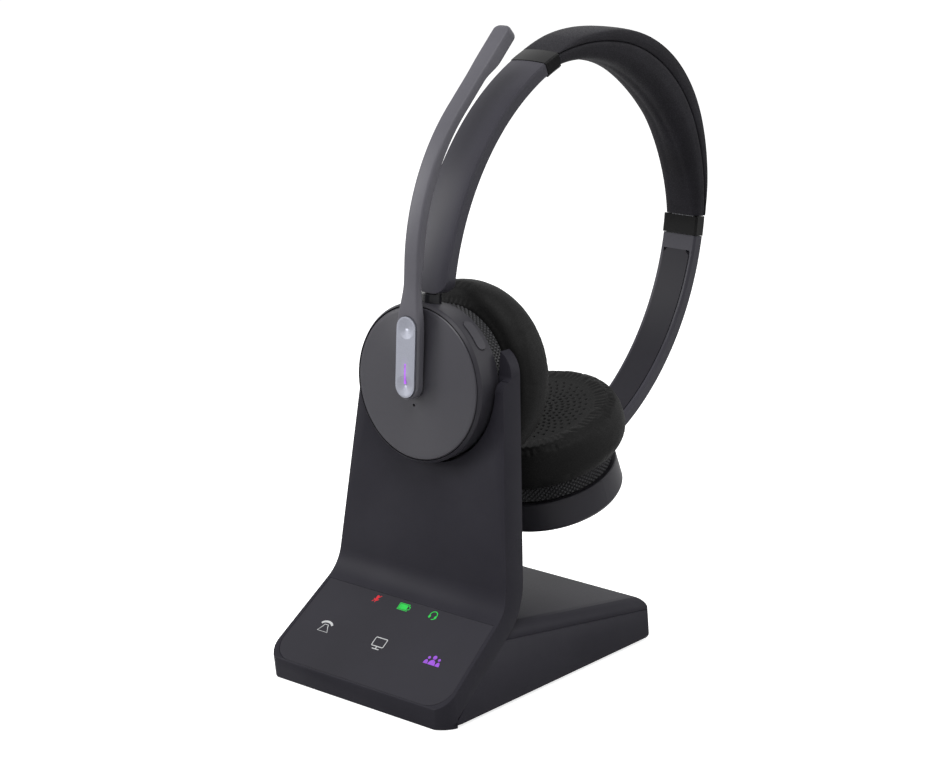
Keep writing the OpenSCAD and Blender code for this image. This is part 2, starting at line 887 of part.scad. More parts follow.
// Hollow shaft that turns in the cap.
module boom_shaft() {
    color("#9b9ca1")
        difference() {
            union() {
                translate([0, 0, -shaft_low])
                    cylinder(r = bolt_r, h = shaft_low + hub_base, $fn = 96);
                translate([0, 0, -shaft_low])
                    cylinder(r = bolt_r - 0.6, h = shaft_low + pocket_z - 0.6, $fn = 48);
            }
            translate([0, 0, -shaft_low - 1])
                cylinder(r = 1.6, h = far / 8, $fn = 32);
            translate([0, 0, -cap_t - 1.3])
                rotate_extrude()
                    translate([bolt_r - 0.5, 0])
                        square([1, 0.8]);
        }
}
// Snap ring that keeps the shaft in the cap.
module boom_clip() {
    color("#b8b9bd")
        translate([0, 0, -cap_t - 1.3 + 0.1])
            difference() {
                cylinder(r = bolt_r + 1.8, h = 0.6, $fn = 64);
                translate([0, 0, -1])
                    cylinder(r = bolt_r - 0.4, h = 3, $fn = 64);
                translate([0, -1.2, -1])
                    cube([10, 2.4, 3]);
            }
}

// Silver call button with a dished cone at each end.
light_l = 6.4;
light_w = 0.6;
light_y = 0.7;
dish_r = pill_w / 2 - 0.5;
module call_button() {
    color("#b4b6c2")
        difference() {
            translate([0, 0, pocket_z + pill_travel + 0.1])
                oblong(pill_w, -pill_low, pill_up, pill_z - pocket_z - pill_travel - 0.1);
            for (y = [-pill_low + pill_w / 2, pill_up - pill_w / 2])
                translate([0, y, pill_z - 0.5])
                    cylinder(r1 = 0, r2 = dish_r, h = 0.5 + eps, $fn = 64);
            translate([-light_w / 2, light_y, pill_z - 1])
                cube([light_w, light_l, 2]);
        }
}
// Light guide of the call button.
module call_light() {
    color("#c77bff")
        translate([-light_w / 2 + 0.02, light_y + 0.02, pill_z - 1 + 0.02])
            cube([light_w - 0.04, light_l - 0.04, 0.96]);
}

// ---- headset frame: origin on top of the band, +Z up through the band ----

tilt = cup_toe + dock_lean;

// Places the headset's frame so that its first cup sits in the dock.
module headset() {
    translate(dock)
        rotate([-tilt, 0, 0])
            translate([0, cup_s, cup_drop])
                children();
}
// Frame of the first or second cup, inside the headset's frame.
module at_cup(second) {
    mirror([0, second ? 1 : 0, 0])
        translate([0, -cup_s, -cup_drop])
            rotate([90 + cup_toe, 0, 0])
                children();
}

// The band's outer curve: three arcs that run into each other.
function spoke(a) = [sin(a), cos(a)];
top_c = [0, -top_r];
side_c = top_c + spoke(top_a) * (top_r - side_r);
ring_end = ring_a + ring_span;
joint_gap = 0.12;

// Where a point of the second cup's mid plane lies in the headset's plane.
function beside(y, z) =
    [cup_s + y * sin(cup_toe) + z * cos(cup_toe),
     y * cos(cup_toe) - z * sin(cup_toe) - cup_drop];

// Each arm is one arc that leaves the ring along the band's curve and takes
// in the pivot's tang at a set depth under its outer face.
tang_depth = 2.3;
arm_from = side_c + spoke(ring_end) * side_r;
arm_run = beside(post_top + tang_l / 2, -pivot_d - tang_in) - arm_from;
arm_r = (tang_depth * tang_depth - arm_run * arm_run)
        / (2 * (arm_run * spoke(ring_end) + tang_depth));
arm_c = arm_from - spoke(ring_end) * arm_r;
arm_foot = beside(post_top + 0.2, -pivot_d) - arm_c;
arm_end_a = atan2(arm_foot[0], arm_foot[1]);

// Straight line that each slider runs along.
slide_in = 24;
slide_out = 6;
slide_a = ring_end - 9.2;
slide_depth = 2.7;
slide_p = side_c + spoke(ring_end) * (side_r - slide_depth);
slide_dir = [cos(slide_a), -sin(slide_a)];
module on_slide() {
    translate([0, slide_p[0], slide_p[1]])
        rotate([-slide_a, 0, 0])
            children();
}

// Cross-section of an arm: crowned outside, rounded edges, flat inside.
function arm_section(r, w, t) =
    let (steps = 12)
    concat(
        [for (i = [0 : steps])
            let (y = -w / 2 + 0.4 + (w - 0.8) * i / steps)
            [r - arm_crown * pow(2 * y / w, 2), y]],
        [[r - arm_crown - 0.5, w / 2], [r - t + 0.7, w / 2], [r - t, w / 2 - 0.7],
         [r - t, -w / 2 + 0.7], [r - t + 0.7, -w / 2], [r - arm_crown - 0.5, -w / 2]]);

cover_from = ring_end + 4;
cover_to = arm_end_a - 8;
cover_w = arm_w - 3.2;
cover_t = 0.9;
module cover_sweep(gap) {
    w = cover_w + 2 * gap;
    arc_sweep(arm_c, cover_from, cover_to)
        translate([arm_r - arm_t - 0.25, -w / 2])
            square([cover_t + gap, w]);
}

// Rounds the arm's lower end, seen from outside.
end_r = 5.6;
module end_round() {
    translate([0, arm_c[0], arm_c[1]])
        rotate([-arm_end_a, 0, 0])
            for (x = [0, 1])
                mirror([x, 0, 0])
                    translate([arm_w / 2 - end_r, -end_r, arm_r - 20])
                        linear_extrude(40)
                            difference() {
                                square(end_r + 1);
                                circle(r = end_r);
                            }
}

// Arm shell on the +Y side; the other arm is its mirror image.
module arm_shell() {
    difference() {
        arc_sweep(arm_c, ring_end + joint_gap, arm_end_a)
            polygon(arm_section(arm_r, arm_w, arm_t));
        end_round();
        cover_sweep(fit_gap);
        on_slide()
            translate([-strip_w / 2 - fit_gap, -2, -strip_t / 2 - fit_gap])
                cube([strip_w + 2 * fit_gap, slide_out + 2 + fit_gap, strip_t + 2 * fit_gap]);
        at_cup(true) {
            tang(fit_gap);
            translate([0, 0, -pivot_d])
                rotate([-90, 0, 0])
                    cylinder(r = pivot_r + fit_gap, h = post_top + fit_gap, $fn = 64);
        }
    }
}
// Inner cover, let into the arm's flat side.
module arm_cover() {
    difference() {
        cover_sweep(0);
        for (x = [-1, 1])
            translate([0, arm_c[0], arm_c[1]])
                rotate([-cover_from, 0, 0])
                    translate([x * cover_w / 2, 0, arm_r - 12])
                        rotate([0, 0, 45])
                            cube([2.4, 2.4, 30], center = true);
    }
}
// Steel strip that slides into the band, with click notches on its edges.
notch_n = 5;
module strip() {
    on_slide()
        difference() {
            translate([-strip_w / 2, -slide_in, -strip_t / 2])
                cube([strip_w, slide_in + slide_out, strip_t]);
            for (i = [0 : notch_n - 1])
                for (x = [-1, 1])
                    translate([x * strip_w / 2, -slide_in + 3 + i * slide_l / notch_n, 0])
                        cylinder(r = 0.6, h = 4, center = true, $fn = 24);
        }
}
// Flat tang on the pivot's top, inside the arm's lower end.
module tang(gap) {
    translate([-tang_w / 2 - gap, post_top - 1.2, -pivot_d - tang_in - tang_t / 2 - gap])
        cube([tang_w + 2 * gap, tang_l + gap + 1.2, tang_t + 2 * gap]);
}
module arm_pivot(second) {
    at_cup(second)
        union() {
            pivot();
            intersection() {
                tang(0);
                translate([0, post_top + tang_l, -pivot_d])
                    rotate([90, 0, 0])
                        cylinder(r = far, h = tang_l + 1.2);
            }
        }
}

// Both halves of something drawn on the +Y side.
module both() {
    for (s = [0, 1])
        mirror([0, s, 0])
            children();
}

core_w = 12.8;
core_top = 0.7;
core_floor = 1;
core_low = 4.3;
rail_w = 1.1;
function core_section(r) =
    [[r - core_top, -core_w / 2], [r - core_top, core_w / 2], [r - core_low, core_w / 2],
     [r - core_low, core_w / 2 - rail_w], [r - core_top - core_floor, core_w / 2 - rail_w],
     [r - core_top - core_floor, -core_w / 2 + rail_w],
     [r - core_low, -core_w / 2 + rail_w], [r - core_low, -core_w / 2]];

// Room that a slider strip sweeps inside the band.
module strip_room(gap) {
    on_slide()
        translate([-strip_w / 2 - gap, -slide_in - 1, -strip_t / 2 - gap])
            cube([strip_w + 2 * gap, slide_in + 20, strip_t + 2 * gap]);
}

// Springy inner frame of the band: a channel that guides the strips.
module band_core() {
    color("#2a2a2c")
        headset()
            difference() {
                union() {
                    arc_sweep(top_c, -top_a, top_a)
                        polygon(core_section(top_r));
                    both()
                        arc_sweep(side_c, top_a - 0.02, ring_a - joint_gap)
                            polygon(core_section(side_r));
                }
                both()
                    strip_room(0.15);
            }
}

skin_crown = 1.2;
skirt_low = 4;
cover_half = pad_w / 2 - 0.5;
function skin_section(r) =
    let (steps = 12)
    concat(
        [for (i = [0 : steps])
            let (y = -cover_half + 2 * cover_half * i / steps)
            [r + skin_crown * (1 - pow(y / cover_half, 4)), y]],
        [[r - skirt_low, cover_half], [r - skirt_low, core_w / 2 + fit_gap],
         [r - core_top + fit_gap, core_w / 2 + fit_gap],
         [r - core_top + fit_gap, -core_w / 2 - fit_gap],
         [r - skirt_low, -core_w / 2 - fit_gap], [r - skirt_low, -cover_half]]);
// Leatherette skin over the top of the band.
module band_cover() {
    color("#2b2b2f")
        headset()
            union() {
                arc_sweep(top_c, -top_a, top_a)
                    polygon(skin_section(top_r));
                both()
                    arc_sweep(side_c, top_a - 0.02, ring_a - joint_gap)
                        polygon(skin_section(side_r));
            }
}

// Foam pad under the band: thick in the middle, thin at the rings.
pad_top = core_low + 0.3;
pad_end_t = 5.6;
pad_end = side_c + spoke(ring_a - 0.6) * (side_r - pad_end_t);
pad_drop = -pad_mid_t - pad_end[1];
pad_arc_r = (pad_end[0] * pad_end[0] + pad_drop * pad_drop) / (2 * pad_drop);
module band_pad() {
    color("#29292c")
        headset()
            intersection() {
                across(far)
                    difference() {
                        polygon(concat(
                            [for (a = [-top_a : top_a / 10 : top_a])
                                top_c + spoke(a) * (top_r - pad_top)],
                            [for (a = [top_a + 2 : 2 : ring_a - 0.6])
                                side_c + spoke(a) * (side_r - pad_top)],
                            [side_c + spoke(ring_a - 0.6) * (side_r - pad_top),
                             pad_end, [pad_end[0] - 4, -top_r], [4 - pad_end[0], -top_r],
                             [-pad_end[0], pad_end[1]]],
                            [for (a = [ring_a - 0.6 : -2 : top_a + 1])
                                let (p = side_c + spoke(a) * (side_r - pad_top))
                                [-p[0], p[1]]]));
                        translate([0, -pad_mid_t - pad_arc_r])
                            circle(r = pad_arc_r, $fn = 240);
                    }
                linear_extrude(far, center = true)
                    polygon([for (i = [0 : 47])
                        let (a = i * 360 / 48)
                        [(arm_w / 2 + (pad_w - arm_w) / 2 * abs(sin(a))) * sign(sin(a) + eps),
                         pad_end[0] * 1.02 * cos(a)]]);
            }
}

// Glossy end rings of the padded band.
ring_w = arm_w + 0.3;
module band_rings() {
    color("#0d0d0e")
        headset()
            both()
                difference() {
                    arc_sweep(side_c, ring_a, ring_end)
                        polygon(arm_section(side_r + 0.15, ring_w, arm_t + 0.6));
                    strip_room(0.15);
                }
}

// ---- nodes of the two sides ----

module cup1_cap() { color("#4c4b52") at_dock() cap(true); }
module cup1_rim() { color("#3a393e") at_dock() rim(true); }
module cup1_waist() { color("#1c1c1e") at_dock() waist(true); }
module cup1_baffle() { color("#202022") at_dock() baffle(); }
module cup1_driver() { color("#6d6e72") at_dock() driver(); }
module cup1_cushion() { color("#242426") at_dock() cushion(); }
module contact_pads() { color("#c9a44c") at_dock() pad_shape(); }
module rim_button() { color("#515056") at_dock() rim_button_shape(); }

driver_h = 4.6;
board_r = 13.5;
// Round board of the first cup, on the driver's back.
module cup1_board() {
    color("#1f5a3c")
        at_dock()
            translate([0, 0, -rim_d - waist_d + baffle_t + driver_h + 0.3])
                difference() {
                    cylinder(r = board_r, h = board_t);
                    translate([0, 0, -1])
                        cylinder(r = 2, h = 4, $fn = 32);
                }
}
module at_second() { headset() at_cup(true) children(); }
module cup2_cap() { color("#4c4b52") at_second() cap(false); }
module cup2_rim() { color("#3a393e") at_second() rim(false); }
module cup2_waist() { color("#1c1c1e") at_second() waist(false); }
module cup2_baffle() { color("#202022") at_second() baffle(); }
module cup2_driver() { color("#6d6e72") at_second() driver(); }
module cup2_cushion() { color("#242426") at_second() cushion(); }
cell_w = 22;
cell_l = 18;
cell_t = 4;
// Pouch battery of the second cup, on the driver's back.
module cup2_battery() {
    color("#b7b9bd")
        at_second()
            translate([0, 0, -rim_d - waist_d + baffle_t + driver_h + 0.2])
                linear_extrude(cell_t)
                    polygon(plaque(cell_w, cell_l, 1.5));
}

module arm1_shell() { color("#5a595f") headset() mirror([0, 1, 0]) arm_shell(); }
module arm1_cover() { color("#55545b") headset() mirror([0, 1, 0]) arm_cover(); }
module arm1_strip() { color("#a5a6aa") headset() mirror([0, 1, 0]) strip(); }
module arm1_pivot() { color("#26262a") headset() arm_pivot(false); }
module arm2_shell() { color("#5a595f") headset() arm_shell(); }
module arm2_cover() { color("#55545b") headset() arm_cover(); }
module arm2_strip() { color("#a5a6aa") headset() strip(); }
module arm2_pivot() { color("#26262a") headset() arm_pivot(true); }

// The boom's pieces turn in the docked cup's frame.
front_shell();
touch_panel();
base_housing();
base_plate();
foot_pad();
base_screws();
ballast();
base_board();
power_inlet();
charge_pins();
dock_magnet();
cup1_cap();
cup1_rim();
cup1_waist();
cup1_baffle();
cup1_driver();
cup1_board();
cup1_cushion();
contact_pads();
rim_button();
at_dock() boom_hub();
at_dock() boom_arm();
at_dock() mic_housing();
at_dock() mic_capsule();
at_dock() boom_shaft();
at_dock() boom_clip();
at_dock() call_button();
at_dock() call_light();
arm1_shell();
arm1_cover();
arm1_strip();
arm1_pivot();
band_core();
band_cover();
band_pad();
band_rings();
arm2_shell();
arm2_cover();
arm2_strip();
arm2_pivot();
cup2_cap();
cup2_rim();
cup2_waist();
cup2_baffle();
cup2_driver();
cup2_battery();
cup2_cushion();
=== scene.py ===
"""Wireless office headset standing in its charging stand.

Every piece is in metres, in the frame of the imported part: the middle of the
stand's rubber foot is the origin, the touch panel faces -Y and +Z is up.
"""
import bpy
import math
import random
import numpy as np
from mathutils import Matrix, Vector


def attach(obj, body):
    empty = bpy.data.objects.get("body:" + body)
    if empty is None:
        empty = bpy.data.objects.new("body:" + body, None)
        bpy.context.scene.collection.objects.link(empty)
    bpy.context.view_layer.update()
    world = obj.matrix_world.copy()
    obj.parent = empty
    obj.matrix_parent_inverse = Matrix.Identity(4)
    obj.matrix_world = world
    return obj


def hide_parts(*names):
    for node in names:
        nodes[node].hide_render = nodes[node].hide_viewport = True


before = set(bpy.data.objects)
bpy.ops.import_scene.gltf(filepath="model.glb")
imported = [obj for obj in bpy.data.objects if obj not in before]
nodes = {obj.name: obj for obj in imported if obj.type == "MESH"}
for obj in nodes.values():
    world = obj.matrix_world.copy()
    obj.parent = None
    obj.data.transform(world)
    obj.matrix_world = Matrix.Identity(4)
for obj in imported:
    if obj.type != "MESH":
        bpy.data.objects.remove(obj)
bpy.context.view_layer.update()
bpy.ops.object.select_all(action="DESELECT")


# ---- Stand: rubber foot, bottom plate and screws ----
# A black silicone foot lies under a moulded bottom plate, and four small
# zinc-plated screws hold the plate to the housing above it.

MM = 0.001


def srgb(code):
    """A hex colour as the linear values that a shader takes."""
    parts = [int(code[i:i + 2], 16) / 255 for i in (1, 3, 5)]
    return [p / 12.92 if p <= 0.04045 else ((p + 0.055) / 1.055) ** 2.4 for p in parts] + [1.0]


def add(tree, kind, settings=None, links=None):
    """Adds a node, sets its properties and sockets, and links its inputs."""
    made = tree.nodes.new("ShaderNode" + kind)
    for key, value in (settings or {}).items():
        if isinstance(key, str) and hasattr(made, key):
            setattr(made, key, value)
        else:
            made.inputs[key].default_value = value
    for key, source in (links or {}).items():
        tree.links.new(source, made.inputs[key])
    return made


def new_material(name):
    """An empty node material and the output that its shader goes to."""
    made = bpy.data.materials.new(name)
    made.use_nodes = True
    made.node_tree.nodes.clear()
    return made, made.node_tree


def ramp(tree, source, low, high, dark, light):
    """Maps a value between low and high onto two colours."""
    made = add(tree, "ValToRGB", links={"Fac": source})
    made.color_ramp.elements[0].position = low
    made.color_ramp.elements[0].color = dark
    made.color_ramp.elements[1].position = high
    made.color_ramp.elements[1].color = light
    return made.outputs["Color"]


def moulded(name, dark, light, grain=0.45, depth=0.03, rough=(0.42, 0.52), specular=0.5,
            blotch=24.0):
    """Injection-moulded plastic with a spark-eroded grain.

    The tone drifts a little over a few centimetres as the resin does, and the
    grain, in mm, breaks up the gloss without making it matt.
    """
    made, tree = new_material(name)
    place = add(tree, "TexCoord").outputs["Object"]
    drift = add(tree, "TexNoise", {"Scale": 1 / (blotch * MM), "Detail": 3.0},
                {"Vector": place}).outputs["Fac"]
    fine = add(tree, "TexNoise", {"Scale": 1 / (grain * MM), "Detail": 2.0},
               {"Vector": place}).outputs["Fac"]
    tone = ramp(tree, drift, 0.3, 0.7, srgb(dark), srgb(light))
    gloss = add(tree, "MapRange", {"To Min": rough[0], "To Max": rough[1]}, {"Value": fine})
    relief = add(tree, "Bump", {"Strength": 0.35, "Distance": depth * MM}, {"Height": fine})
    shader = add(tree, "BsdfPrincipled", {"IOR": 1.5, "Specular IOR Level": specular},
                 {"Base Color": tone, "Roughness": gloss.outputs["Result"],
                  "Normal": relief.outputs["Normal"]})
    add(tree, "OutputMaterial", links={"Surface": shader.outputs["BSDF"]})
    return made


def metal(name, code, rough=(0.25, 0.4), grain=0.3):
    """Bare or plated metal with fine scatter in its gloss."""
    made, tree = new_material(name)
    place = add(tree, "TexCoord").outputs["Object"]
    fine = add(tree, "TexNoise", {"Scale": 1 / (grain * MM), "Detail": 3.0},
               {"Vector": place}).outputs["Fac"]
    tone = ramp(tree, fine, 0.2, 0.8, [c * 0.86 for c in srgb(code)[:3]] + [1.0], srgb(code))
    gloss = add(tree, "MapRange", {"To Min": rough[0], "To Max": rough[1]}, {"Value": fine})
    relief = add(tree, "Bump", {"Strength": 0.2, "Distance": 0.02 * MM}, {"Height": fine})
    shader = add(tree, "BsdfPrincipled", {"Metallic": 1.0},
                 {"Base Color": tone, "Roughness": gloss.outputs["Result"],
                  "Normal": relief.outputs["Normal"]})
    add(tree, "OutputMaterial", links={"Surface": shader.outputs["BSDF"]})
    return made


def finish_nodes(names, made):
    """Gives CAD nodes their finish."""
    for name in names:
        for slot in nodes[name].material_slots:
            slot.material = made


foot_rubber = moulded("silicone_rubber", "#121213", "#19191b", grain=0.7, depth=0.05,
                      rough=(0.7, 0.85), specular=0.3)
plate_abs = moulded("moulded_abs_underside", "#1d1d1f", "#232326", grain=0.6, depth=0.05,
                    rough=(0.5, 0.62))
screw_zinc = metal("zinc_plated_steel", "#a9adb4")
finish_nodes(["foot_pad"], foot_rubber)
finish_nodes(["base_plate"], plate_abs)
finish_nodes(["base_screws"], screw_zinc)


# ---- Stand: ballast, board and inlet ----
# A zinc block keeps the stand from tipping, a green board carries the
# electronics, and the data inlet's tinned shell shows at the back.

ballast_zinc = metal("cast_zinc_ballast", "#7d8087", rough=(0.45, 0.6), grain=0.8)
inlet_steel = metal("tinned_steel_shell", "#b9bcc2", rough=(0.2, 0.3))
board_green = moulded("solder_resist_board", "#123c27", "#1a5234", grain=1.2, depth=0.05,
                      rough=(0.3, 0.45))
finish_nodes(["ballast"], ballast_zinc)
finish_nodes(["power_inlet"], inlet_steel)
finish_nodes(["base_board", "cup1_board"], board_green)


# ---- Stand: housing and bent front shell ----
# Both are one dark satin plastic with a fine spark-eroded grain.  The front
# corners are round from above, and the lip comes down almost to the desk.

stand_abs = moulded("moulded_satin_abs", "#25242a", "#2a292f", grain=0.4, depth=0.03,
                    rough=(0.4, 0.48), specular=0.06)

def settle(piece, name, place):
    """Puts a piece's place into its mesh and names it."""
    piece.data.transform(place @ piece.matrix_world)
    piece.matrix_world = Matrix.Identity(4)
    piece.name = name
    piece.data.name = name


def pick(piece):
    """Makes one piece the only selected and active one."""
    bpy.ops.object.select_all(action="DESELECT")
    bpy.context.view_layer.objects.active = piece
    piece.select_set(True)


def face_outwards():
    """Turns the active piece's faces outwards."""
    bpy.ops.object.mode_set(mode="EDIT")
    bpy.ops.mesh.select_all(action="SELECT")
    bpy.ops.mesh.normals_make_consistent(inside=False)
    bpy.ops.object.mode_set(mode="OBJECT")


def grid_mesh(name, rows, closed=False):
    """A mesh through rows of points that each run once round, in its own units.

    A closed one gets a face over its first and last rows.
    """
    count, around = rows.shape[:2]
    faces = [(i * around + j, i * around + (j + 1) % around,
              (i + 1) * around + (j + 1) % around, (i + 1) * around + j)
             for i in range(count - 1) for j in range(around)]
    if closed:
        faces.append(tuple(range(around)))
        faces.append(tuple(range((count - 1) * around, count * around)))
    mesh = bpy.data.meshes.new(name)
    mesh.from_pydata(rows.reshape(-1, 3).tolist(), [], faces)
    piece = bpy.data.objects.new(name, mesh)
    bpy.context.scene.collection.objects.link(piece)
    pick(piece)
    return piece


def from_rows(name, rows):
    """A closed solid through rows of points in mm, with its faces outwards."""
    piece = grid_mesh(name, np.array(rows) * MM, closed=True)
    face_outwards()
    return piece


def arc(x, y, radius, start, end, steps=20, squash=1.0):
    """Points along an arc, in mm and degrees."""
    turns = [math.radians(start + (end - start) * i / steps) for i in range(steps + 1)]
    return [(x + radius * math.cos(t), y + radius * squash * math.sin(t)) for t in turns]


def prism(outline, low, high):
    """A closed prism over an outline of (x, y), between two heights, in mm."""
    return from_rows("prism", [[(x, y, z) for x, y in outline] for z in (low, high)])


def combine(piece, tool, operation):
    """Joins, cuts or keeps the common part of two solids, and drops the second."""
    step = piece.modifiers.new("step", "BOOLEAN")
    step.operation = operation
    step.solver = "EXACT"
    step.object = tool
    pick(piece)
    bpy.ops.object.modifier_apply(modifier="step")
    bpy.data.objects.remove(tool)


# Sizes are in mm.  FOOT_CORNER rounds the plan below CORNER_TOP, FRONT_CORNER above.
STAND_HALF = 38.0
STAND_FRONT = -52.5
STAND_BACK = 52.5
FOOT_OUT = 1.2
DRAFT = math.tan(math.radians(5.45))
FRONT_CORNER = 6.2
FOOT_CORNER = 9.4
CORNER_LOW = -1.0
CORNER_TOP = 7.0
BACK_CORNER = 1.6
LIP_FACE = -52.145
LIP_HIGH = 6.52
LIP_LOW = 0.25
LIP_RAKE = 0.5
LIP_DEPTH = 6.0
LIP_STEP = 3.0
LIP_LAND = 1.5
CUT_TOP = 140.0
EDGE_SOFT = 0.45


def stand_half(z):
    """Half the drafted stand's width at height z."""
    return STAND_HALF - (z - FOOT_OUT) * DRAFT


def plan(z, spare=0.01, steps=12):
    """The stand's outline from above at height z, with its round corners."""
    half = stand_half(z) + spare
    front = FOOT_CORNER if z < CORNER_TOP else FRONT_CORNER
    corners = [(half, STAND_FRONT, front, -90), (half, STAND_BACK, BACK_CORNER, 0),
               (-half, STAND_BACK, BACK_CORNER, 90), (-half, STAND_FRONT, front, 180)]
    points = []
    for x, y, radius, start in corners:
        middle = (x - math.copysign(radius, x), y - math.copysign(radius, y))
        points += arc(*middle, radius, start, start + 90, steps)
    return points


def round_corners(node, name, extra=None):
    """A copy of one of the stand's nodes with the plan's round corners."""
    piece = nodes[node].copy()
    piece.data = nodes[node].data.copy()
    bpy.context.scene.collection.objects.link(piece)
    settle(piece, name, Matrix.Identity(4))
    if extra:
        combine(piece, extra, "UNION")
    heights = (CORNER_LOW, CORNER_TOP, CUT_TOP)
    keep = from_rows("keep", [[(x, y, z) for x, y in plan(z)] for z in heights])
    combine(piece, keep, "INTERSECT")
    soft = piece.modifiers.new("soft", "BEVEL")
    soft.limit_method = "ANGLE"
    soft.angle_limit = math.radians(35)
    soft.width = EDGE_SOFT * MM
    soft.segments = 3
    pick(piece)
    bpy.ops.object.modifier_apply(modifier="soft")
    bpy.ops.object.shade_smooth_by_angle(angle=math.radians(32))
    piece.data.materials.clear()
    piece.data.materials.append(stand_abs)
    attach(piece, "stand")
    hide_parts(node)


lip_side = [(LIP_FACE, LIP_HIGH), (LIP_FACE + LIP_RAKE, LIP_LOW),
            (LIP_FACE + LIP_DEPTH, LIP_LOW), (LIP_FACE + LIP_DEPTH, LIP_HIGH - LIP_STEP),
            (LIP_FACE + LIP_LAND, LIP_HIGH)]
lip = from_rows("lip", [[(side * stand_half(z), y, z) for y, z in lip_side]
                        for side in (-1, 1)])
round_corners("front_shell", "stand_front", lip)
round_corners("base_housing", "stand_housing")


# ---- Stand: touch panel and its lit symbols ----
# The panel is a thin satin film over the shell.  Plain symbols shine through
# it: a muted microphone, a battery, a headset, a desk phone, a screen and,
# for calls with several people, three heads.

PANEL_ORIGIN = Vector((0, -52.5, 6.73)) * MM
PANEL_SLOPE = math.radians(35.5)
panel_place = Matrix.Translation(PANEL_ORIGIN) @ Matrix.Rotation(PANEL_SLOPE, 4, "X")
panel_film = moulded("satin_panel_film", "#28272c", "#2d2c32", grain=0.3, depth=0.015,
                     rough=(0.34, 0.42), specular=0.11, blotch=40.0)
finish_nodes(["touch_panel"], panel_film)


def lit(name, code, strength):
    """Backlit ink: a diffuser that glows a little unevenly."""
    made, tree = new_material(name)
    place = add(tree, "TexCoord").outputs["Object"]
    cloud = add(tree, "TexNoise", {"Scale": 1 / (1.2 * MM), "Detail": 1.0},
                {"Vector": place}).outputs["Fac"]
    tone = ramp(tree, cloud, 0.25, 0.6, [c * 0.8 for c in srgb(code)[:3]] + [1.0], srgb(code))
    shader = add(tree, "BsdfPrincipled",
                 {"Base Color": srgb("#1a1a1c"), "Roughness": 0.5, "Specular IOR Level": 0.2,
                  "Emission Strength": strength}, {"Emission Color": tone})
    add(tree, "OutputMaterial", links={"Surface": shader.outputs["BSDF"]})
    return made


white_ink = lit("backlit_white_ink", "#d6d7d8", 0.9)
green_ink = lit("backlit_green_ink", "#14d848", 0.95)
red_ink = lit("backlit_red_ink", "#e30d22", 0.9)
purple_ink = lit("backlit_purple_ink", "#a653e6", 0.95)

INK_LOW = -0.12
INK_HIGH = 0.0


def line_mark(paths, width):
    """A drawn line mark: each path is (points, closed), in mm."""
    curve = bpy.data.curves.new("mark", "CURVE")
    curve.dimensions = "3D"
    curve.bevel_depth = width / 2 * MM
    curve.bevel_resolution = 2
    curve.use_fill_caps = True
    for points, closed in paths:
        spline = curve.splines.new("POLY")
        spline.points.add(len(points) - 1)
        for point, (x, y) in zip(spline.points, points):
            point.co = (x * MM, y * MM, 0, 1)
        spline.use_cyclic_u = closed
    piece = bpy.data.objects.new("mark", curve)
    bpy.context.scene.collection.objects.link(piece)
    pick(piece)
    bpy.ops.object.convert(target="MESH")
    return bpy.context.view_layer.objects.active


def disc_mark(x, y, radius, squash=1.0):
    """A filled round or oval dot, in mm."""
    bpy.ops.object.select_all(action="DESELECT")
    bpy.ops.mesh.primitive_cylinder_add(vertices=24, radius=radius * MM, depth=0.1 * MM,
                                        location=(x * MM, y * MM, 0))
    piece = bpy.context.view_layer.objects.active
    piece.scale = (1, squash, 1)
    bpy.ops.object.transform_apply(location=True, rotation=True, scale=True)
    return piece


def block_mark(x, y, width, height, corner=0.3):
    """A filled box with round corners, in mm."""
    bpy.ops.object.select_all(action="DESELECT")
    bpy.ops.mesh.primitive_cube_add(size=1, location=(x * MM, y * MM, 0))
    piece = bpy.context.view_layer.objects.active
    piece.scale = (width * MM, height * MM, 0.1 * MM)
    bpy.ops.object.transform_apply(location=True, rotation=True, scale=True)
    bpy.ops.object.mode_set(mode="EDIT")
    bpy.ops.mesh.select_mode(type="EDGE")
    bpy.ops.mesh.select_all(action="DESELECT")
    bpy.ops.object.mode_set(mode="OBJECT")
    for edge in piece.data.edges:
        a, b = (piece.data.vertices[i].co for i in edge.vertices)
        edge.select = abs(a.z - b.z) > 0.05 * MM
    bpy.ops.object.mode_set(mode="EDIT")
    bpy.ops.mesh.bevel(offset=corner * MM, segments=4)
    bpy.ops.object.mode_set(mode="OBJECT")
    return piece


def shoulder_mark(x, y, half, height, steps=14):
    """A filled half oval on a flat foot, in mm: a bust's shoulders."""
    turns = [math.pi * i / steps for i in range(steps + 1)]
    return prism([(x + half * math.cos(t), y + height * math.sin(t)) for t in turns], -0.05, 0.05)


def place_mark(name, parts, x, y, ink):
    """Joins the parts of one symbol and sinks it into the panel's face."""
    bpy.ops.object.select_all(action="DESELECT")
    for part in parts:
        part.select_set(True)
    bpy.context.view_layer.objects.active = parts[0]
    if len(parts) > 1:
        bpy.ops.object.join()
    piece = bpy.context.view_layer.objects.active
    heights = [v.co.z for v in piece.data.vertices]
    low, high = min(heights), max(heights)
    for vertex in piece.data.vertices:
        share = (vertex.co.z - low) / (high - low)
        vertex.co.z = (INK_LOW + (INK_HIGH - INK_LOW) * share) * MM
    settle(piece, name, panel_place @ Matrix.Translation(Vector((x, y, 0)) * MM))
    piece.data.materials.clear()
    piece.data.materials.append(ink)
    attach(piece, "stand")


